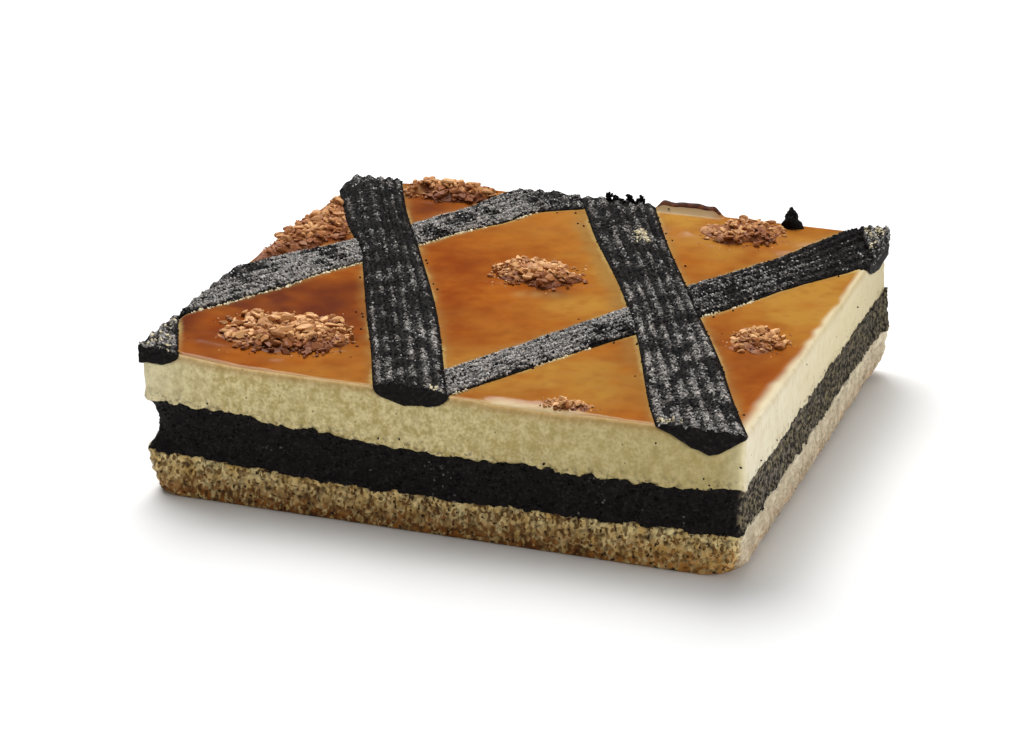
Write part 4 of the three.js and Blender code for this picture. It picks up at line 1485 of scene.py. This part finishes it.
def strip_seeds(name, members, density, random):
    """Seeds on some strips."""
    found = []
    for member in members:
        points, crown, ends = strip_surfaces[member]
        surface = np.concatenate([crown, ends]) if member in SEEDED_ENDS else crown
        place, normal = scatter(points, surface, density, random)
        wet = random.random(len(place)) < WET_SHARE * strip_shine_and_sheen(member, place)
        # paler wet seeds on the lower strips: more painted glint
        dim = 1.6 if member in upper_names else 0.9
        tone = np.where(wet, random.random(len(place)) ** dim, random.random(len(place)))
        kept = wet | (random.random(len(place)) < DULL_SHARE)
        if member in lower_names:
            for over in upper_lines:
                kept &= np.abs(over.find(place[:, 0], place[:, 1])[0]) > 0.97
        found.append((place[kept], normal[kept], tone[kept], wet[kept]))
    places, normals, tones, wets = (np.concatenate(part) for part in zip(*found))
    seed_piece(name, places, normals, tones, wets, random)


def filling_seeds(name, random):
    """Seeds on the cut faces of the filling."""
    places, normals = scatter(filling_points, filling_faces, FILLING_DENSITY, random)
    kept = (normals[:, 0] < RIGHT_FACE) | (random.random(len(places)) < RIGHT_FACE_SHARE)
    places, normals = places[kept], normals[kept]
    moist = swell(places, 12, 75) + 0.5 * swell(places, 5, 76) > 0.4
    wets = moist & (random.random(len(places)) < MOIST_SHARE)
    tones = np.where(wets, 0.3, 1.0) * random.random(len(places)) ** 2
    seed_piece(name, places, normals, tones, wets, random)


strip_seeds("poppy_seeds_upper", upper_names, UPPER_DENSITY, seed_random)
strip_seeds("poppy_seeds_lower", lower_names, LOWER_DENSITY, seed_random)
filling_seeds("poppy_seeds_filling", seed_random)

# %% [markdown]
# ## Chopped nuts
# A chopped nut is a small block with broken, nearly flat sides. It is made from a little ball, flattened by a
# few random planes and shaded flat, so that the breaks stay crisp. The kernels are pale where they broke and
# brown where glaze has soaked in, which one number for each piece decides; that number also carries painted
# shade, darker towards the front right of a heap.

# %% Making nuts
def nut_finish():
    finish = Finish("chopped_nut", {"Roughness": 0.5, "Specular IOR Level": 0.2})
    tone = finish.attribute("tone")
    fibre = finish.noise(0.9, 3)
    roasted = finish.ramp(tone, 0.0, 0.45, rgba(0.11, 0.021, 0.006), rgba(0.38, 0.135, 0.034))
    kernel = finish.ramp(tone, 0.3, 0.9, roasted, rgba(0.80, 0.46, 0.20))
    finish.paint(finish.ramp(fibre, 0.5, 0.8, kernel, rgba(0.28, 0.09, 0.026), 0.5))
    finish.bump(fibre, 0.2, 0.5)
    return finish


BREAKS = 6  # planes that flatten a piece
BREAK_AT = (0.3, 0.65)  # how far from its middle they lie
PIECE_WIDTHS = (0.42, 0.8)  # as shares of its length
PIECE_HEIGHTS = (0.35, 0.6)
nut_ball, nut_triangles = icosphere(2)
nut_kernel = nut_finish()


def broken(ball, random, thickness=1.0):
    """One broken piece of unit size, longest along x and flattest along z."""
    points = ball.copy()
    for _ in range(BREAKS):
        normal = random.normal(size=3)
        normal /= np.linalg.norm(normal)
        beyond = np.clip(points @ normal - random.uniform(*BREAK_AT), 0, None)
        points -= beyond[:, None] * normal
    width = thickness * random.uniform(*PIECE_WIDTHS)
    height = thickness * random.uniform(*PIECE_HEIGHTS)
    return points * np.array([1.0, width, height])


def lying(random):
    """A turn for a piece that lies more or less flat."""
    heading = Matrix.Rotation(random.uniform(0, 2 * math.pi), 3, "Z")
    tilt = Matrix.Rotation(random.normal(0, 0.5), 3, "X")
    return np.array(heading @ tilt)


print("a nut piece has", len(nut_triangles), "triangles")

# %% [markdown]
# Each heap has a low core whose surface is lumpy with fine pieces stuck together, darker in the creases, and
# darkened towards the front right by painted shade. It is a stack of rings like the layers, drawn in to the
# middle, and dies away towards the strips.

# %% Cores of the heaps
HEAP_HEIGHT = 3.2
# Heaps that stand taller or lower
HEAP_EXTRA = {
    "nut_heap_middle": 2.2,
    "nut_heap_back_left": 2.0,
    "nut_heap_back_right": 0.8,
    "nut_heap_front": -1.4,
}
HEAP_SHADE = 0.75  # how much darker a heap is towards the front right, as painted shade
HEAP_SHADES = {"nut_heap_right": 0.4, "nut_heap_back_right": 0.6}  # heaps with less painted shade
CORE_REACH = 0.86  # the core's foot, as a share of the heap's reach
CORE_TOP = 0.05
CORE_SINK = 1.0


def heap_surface(name, x, y):
    """The height of a heap's core, and how high each place stands in its own lump."""
    flat = flat_points(x, y)
    grain = lumps(flat, 2.6, 83)
    dome = np.clip(1 - (heap_away(name, x, y) / 0.88) ** 2, 0, 1) * ease(strip_gap(x, y), 0.0, 4.0)
    uneven = (0.8 + 0.5 * swell(flat, 7, 85)) * (HEAP_HEIGHT + HEAP_EXTRA.get(name, 0) - 1.0)
    return top_height(x, y) + dome * uneven + 1.6 * (grain - 0.35) * np.sqrt(dome), grain


def heap_shade(name, side_x, side_y):
    """1, or less towards the front right of a heap: painted shade."""
    return 1 - HEAP_SHADES.get(name, HEAP_SHADE) * ease(0.45 * side_x - 0.9 * side_y, 0.1, 0.75)


def heap_core(name):
    """A low closed dome that follows the cheese's top, with the tone of each point."""
    middle_x, middle_y, reach_x, reach_y, _ = HEAPS[name]
    spokes = int(60 + 2.4 * max(reach_x, reach_y))
    angle = np.linspace(0, 2 * math.pi, spokes, endpoint=False)
    rim = 1 / heap_away(name, middle_x + reach_x * np.cos(angle), middle_y + reach_y * np.sin(angle))
    limit = HALF - TOP_EDGE_INSET
    levels = [(CORE_REACH, CORE_SINK), (CORE_REACH, CORE_SINK / 2)]
    levels += [(reach, 0.0) for reach in np.linspace(CORE_REACH - 0.03, CORE_TOP, spokes // 4)]
    rows, tones = [], []
    for reach, sunk in levels:
        x = np.clip(middle_x + reach * rim * reach_x * np.cos(angle), -limit[0], limit[0])
        y = np.clip(middle_y + reach * rim * reach_y * np.sin(angle), -limit[1], limit[1])
        height, grain = heap_surface(name, x, y)
        rows.append(np.column_stack([x, y, height - sunk]))
        # painted shade: the core darkens towards the front right
        shade = heap_shade(name, (x - middle_x) / reach_x, (y - middle_y) / reach_y)
        stain = 0.25 * swell(flat_points(x, y), 1.8, 86)
        tones.append(np.clip(0.1 + 0.5 * grain + stain, 0, 1) * shade)
    faces = stack_quads(len(rows), spokes).tolist() + end_faces(len(rows), spokes)
    return np.concatenate(rows), faces, np.concatenate(tones)


print("the middle heap's core has", len(heap_core("nut_heap_middle")[1]), "faces")

# %% [markdown]
# The larger pieces lie on the core, thickest in the middle, and fine bits lie round them. Turning by the
# golden angle from piece to piece spreads them evenly, and a little chance takes the pattern away. Pieces
# that would lie on a strip or hang over the edge are left out, and so are some at the rim, which leaves bays.

# %% Nut heaps
HEAP_SIZES = {  # heaps of smaller pieces
    "nut_heap_front": 0.65,
    "nut_heap_back_right": 0.8,
    "nut_heap_left": 0.85,
    "nut_heap_right": 0.78,
}
HEAP_TONES = {  # heaps whose pieces are browner under more glaze
    "nut_heap_front_left": 0.85,
    "nut_heap_right": 0.85,
    "nut_heap_back_right": 0.84,
    "nut_heap_back_left": 0.7,
    "nut_heap_left": 0.65,
}
FINE_BITS = 0.8  # fine bits for each larger piece
FINE_SIZE = 0.45
GOLDEN_ANGLE = 2.39996
NUT_SIZES = (0.8, 3.6)  # the smallest and largest half length
NUT_TONES = (0.35, 1.15)
NUT_CLEARANCE = 0.8  # from a strip
NUT_OVERHANG = 1.0  # past the flat part of the top


def nut_heap(name, random):
    """A heap's core and its chopped pieces, joined into one piece."""
    middle_x, middle_y, reach_x, reach_y, count = HEAPS[name]
    points, faces, tones = heap_core(name)
    all_points, all_tones = [points], [tones]
    first = len(points)
    limit = HALF - TOP_EDGE_INSET + NUT_OVERHANG
    for number in range(int(count * (1 + FINE_BITS))):
        fine = number >= count
        if fine:
            reach = random.uniform(0.45, 1.05)
        else:
            reach = math.sqrt((number + 0.5) / count) * random.uniform(0.85, 1.15)
        angle = number * GOLDEN_ANGLE + random.uniform(-0.7, 0.7)
        side_x = reach * math.cos(angle)
        side_y = reach * math.sin(angle)
        plan = np.array([middle_x + side_x * reach_x, middle_y + side_y * reach_y])
        size = float(np.clip(random.lognormal(0.65, 0.4), *NUT_SIZES)) * (1.1 - 0.3 * reach)
        size *= HEAP_SIZES.get(name, 1.0) * (FINE_SIZE if fine else 1.0)
        ball, triangles = (seed_points, seed_triangles) if fine else (nut_ball, nut_triangles)
        nut = broken(ball, random) @ lying(random).T * size
        # painted shade: pieces darken towards the front right
        shade = float(heap_shade(name, side_x, side_y))
        tone = random.uniform(*NUT_TONES) * shade * HEAP_TONES.get(name, 1.0)
        in_bay = swell(flat_points(plan[:1], plan[1:]), 6, 87)[0] + 0.9 * reach > 1.15
        on_strip = strip_gap(plan[:1], plan[1:])[0] < NUT_CLEARANCE
        if in_bay and not fine or on_strip or (np.abs(plan) > limit).any():
            continue
        height, _ = heap_surface(name, plan[:1], plan[1:])
        all_points.append(nut + np.array([plan[0], plan[1], height[0] + 0.3 * size]))
        all_tones.append(np.full(len(nut), tone))
        faces.extend((triangles + first).tolist())
        first += len(nut)
    piece = make_piece(name + "_chopped", np.concatenate(all_points), faces, [nut_kernel], None, False)
    note_values(piece, "tone", np.concatenate(all_tones))
    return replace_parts(piece, name)


nut_random = np.random.default_rng(81)
for name in HEAPS:
    piece = nut_heap(name, nut_random)
    print(piece.name, len(piece.data.polygons), "faces")

# %% [markdown]
# ## The lump on the back edge
# One crumb of the dark paste stands on the back rim. It is a ball that narrows and leans towards its tip,
# with the same grainy relief and finish as the strips, and its underside sunk just into the cheese.

# %% Poppy lump
LUMP_X = 73.5
LUMP_Y = 97.5
LUMP_WIDTH = 8.0
LUMP_DEPTH = 6.4
LUMP_HEIGHT = 7.6
LUMP_LEAN = -0.8
LUMP_SINK = 1.0


def poppy_lump():
    ball, triangles = icosphere(4)
    points = ball * np.array([LUMP_WIDTH / 2, LUMP_DEPTH / 2, LUMP_HEIGHT])
    share = np.clip(ball[:, 2], 0, 1)
    points[:, 0] = points[:, 0] * (1 - 0.5 * share) + LUMP_LEAN * share
    uneven = 0.3 * swell(points, 3.1, 91) + 0.12 * swell(points, 1.5, 93)
    points *= (1 + uneven + 0.3 * (lumps(points, 1.3, 92) - 0.4))[:, None]
    points[:, 2] = np.maximum(points[:, 2], -LUMP_SINK)
    points += np.array([LUMP_X, LUMP_Y, float(top_height(LUMP_X, LUMP_Y))])
    piece = make_piece("poppy_lump_crumb", points, triangles.tolist(), [strip_paste])
    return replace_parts(piece, "poppy_lump")


print(poppy_lump().name)

# %% [markdown]
# ## Crumbs
# A cut cake sheds crumbs. Pale chips of curd cling beside the lower strips and in a few smears on the strips,
# and specks of nut lie round the heaps. The chips also stand for painted highlights along the lower strips'
# front edges, and some smears stand for glints on the strips. They are made like the nuts: broken balls
# joined into one mesh for each kind, half sunk where they lie.

# %% Pale crumbs
def curd_and_highlight_finish():
    finish = Finish("curd_chip_and_highlight", {"Roughness": 0.5, "Specular IOR Level": 0.35})
    chalk = finish.noise(0.8, 2)
    finish.paint(finish.blend(chalk, rgba(0.66, 0.54, 0.28), rgba(0.92, 0.85, 0.64)))
    finish.bump(chalk, 0.15, 0.5)
    return finish


CHIPS_EACH = 340  # chips tried beside each lower strip
CHIP_STRETCH = (-110, 60)  # along the strip
SPECKS_EACH = 26  # specks tried round each heap
EDGE_CLEARANCE = 3.0
# Smears of curd, some of them standing for glints: the strip, then from where to where across and along it,
# and the number of chips
CURD_SMEARS_AND_GLINTS = [
    ("poppy_strip_right", -0.92, -0.4, -127, -122, 30),
    ("poppy_strip_left", 0.4, 0.92, -93, -89, 18),
    ("poppy_strip_right", -0.05, 0.42, 50, 62, 70),
    ("poppy_strip_right_corner", -0.9, 0.5, 30, 54, 110),
    ("poppy_strip_left_corner", 0.0, 0.9, -55, -15, 90),
]


def crumb_piece(name, places, radii, finish, random, thickness=1.0):
    """Broken bits at some places, joined into one piece."""
    parts, tones = [], []
    for place in places:
        size = random.uniform(*radii)
        parts.append(broken(seed_points, random, thickness) @ tumbled(1, random)[0].T * size + place)
        tones.append(np.full(len(seed_points), random.uniform(0.2, 1.0)))
    points = np.concatenate(parts)
    piece = make_piece(name, points, copied_triangles(len(places)), [finish], None, False)
    note_values(piece, "tone", np.concatenate(tones))
    print(name, len(places), "bits")


def on_top(plan):
    """Places on the cheese's top."""
    return np.column_stack([plan, top_height(*plan.T)])


def beside_strips(names, random):
    """Places close outside the right edges of some strips."""
    plans = []
    for name in names:
        t = random.uniform(*CHIP_STRETCH, CHIPS_EACH)
        plan = lines[name].plan(np.ones(CHIPS_EACH), t)
        plan = plan + random.uniform(0.0, 0.9, (CHIPS_EACH, 1)) * lines[name].across
        plans.append(plan[face_inset(*plan.T) > EDGE_CLEARANCE])
    plan = np.concatenate(plans)
    patchy = swell(flat_points(*plan.T), 10, 97) > -0.3
    return on_top(plan[patchy & (strip_gap(*plan.T) > 0)])


def on_strips(random):
    """Places of the smears of curd on strips, some of them standing for glints."""
    places = []
    for name, q_low, q_high, t_low, t_high, count in CURD_SMEARS_AND_GLINTS:
        q = random.uniform(q_low, q_high, count)
        t = random.uniform(t_low, t_high, count)
        inside = face_inset(*lines[name].plan(q, t).T) > 0.5
        places.append(strip_crown(lines[name], q[inside], t[inside]))
    return np.concatenate(places)


def round_heaps(random):
    """Places just outside the nut heaps."""
    plans = []
    for middle_x, middle_y, reach_x, reach_y, _ in HEAPS.values():
        angle = random.uniform(0, 2 * math.pi, SPECKS_EACH)
        reach = random.uniform(0.95, 1.35, SPECKS_EACH)
        x = middle_x + reach * reach_x * np.cos(angle)
        y = middle_y + reach * reach_y * np.sin(angle)
        plans.append(np.column_stack([x, y]))
    plan = np.concatenate(plans)
    return on_top(plan[(face_inset(*plan.T) > EDGE_CLEARANCE) & (strip_gap(*plan.T) > 1)])


crumb_random = np.random.default_rng(95)
curd = curd_and_highlight_finish()
# pale chips: curd, and a painted highlight along the front edges of the lower strips
chip_and_highlight_places = beside_strips(lower_names, crumb_random)
crumb_piece("curd_chips_and_highlights", chip_and_highlight_places, (0.35, 1.1), curd, crumb_random)
# smears of curd, some of which stand for glints on the strips
smear_and_glint_places = on_strips(crumb_random)
crumb_piece("curd_smears_and_glints", smear_and_glint_places, (0.5, 1.3), curd, crumb_random)
speck_places = round_heaps(crumb_random)
crumb_piece("nut_specks", speck_places, (0.3, 0.9), nut_kernel, crumb_random)

# %% [markdown]
# Black crumbs of paste are piled on the back end of the right strip, in a few small heaps, and show against
# the white behind. Stray seeds lie on the glaze close to the strips and stick to the cut curd, most of them
# low down, where the knife carried them from the filling.

# %% Dark crumbs and stray seeds
PILE_BITS = 90
PILE_HEIGHT = 2.8
FACE_SEEDS = 26
TOP_SEEDS = 320  # seeds tried all over the top
TOP_SEED_INSET = 4.0
TOP_SEED_REACH = 5.0  # from a strip


def on_back_end(line, random):
    """Places in small heaps on the back end of a strip."""
    q = random.uniform(-0.4, 0.65, PILE_BITS)
    t = span_in_block(line, q)[1] - random.uniform(0.8, 2.6, PILE_BITS)
    places = strip_crown(line, q, t)
    places[:, 2] += random.uniform(0, PILE_HEIGHT, PILE_BITS) * (0.55 + 0.45 * np.sin(14 * q))
    return places


def on_cheese_faces(random):
    """Places on the cut faces of the cheese, with the way that they face."""
    plan = ring(CHEESE_STEPS, 0.45)
    chosen = random.integers(0, len(plan), FACE_SEEDS)
    low = poppy_top(*plan[chosen].T) + 1.0
    up = low + (CHEESE_TOP - 4 - low) * random.random(FACE_SEEDS) ** 1.7
    normals = flat_points(*outward(plan)[chosen].T)
    return np.column_stack([plan[chosen], up]), normals


def near_strips(random):
    """Places on the top close to the strips, with the way up."""
    reach = HALF - TOP_SEED_INSET
    plan = random.uniform(-reach, reach, (TOP_SEEDS, 2))
    gap = strip_gap(*plan.T)
    plan = plan[(gap > 0) & (gap < TOP_SEED_REACH)]
    return on_top(plan), np.tile([0.0, 0.0, 1.0], (len(plan), 1))


pile_places = on_back_end(lines["poppy_strip_right"], crumb_random)
crumb_piece("poppy_crumbs", pile_places, (0.8, 1.3), strip_paste, crumb_random, 1.5)
stray_sites = [on_cheese_faces(crumb_random), near_strips(crumb_random)]
places, normals = (np.concatenate(part) for part in zip(*stray_sites))
tones = crumb_random.random(len(places))
all_dull = np.zeros(len(places))
seed_piece("poppy_seeds_stray", places, normals, tones, all_dull, crumb_random)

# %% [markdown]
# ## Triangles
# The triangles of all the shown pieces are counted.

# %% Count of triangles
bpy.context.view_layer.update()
triangles = sum(len(face.vertices) - 2 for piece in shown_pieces() for face in piece.data.polygons)
print("triangles", triangles)
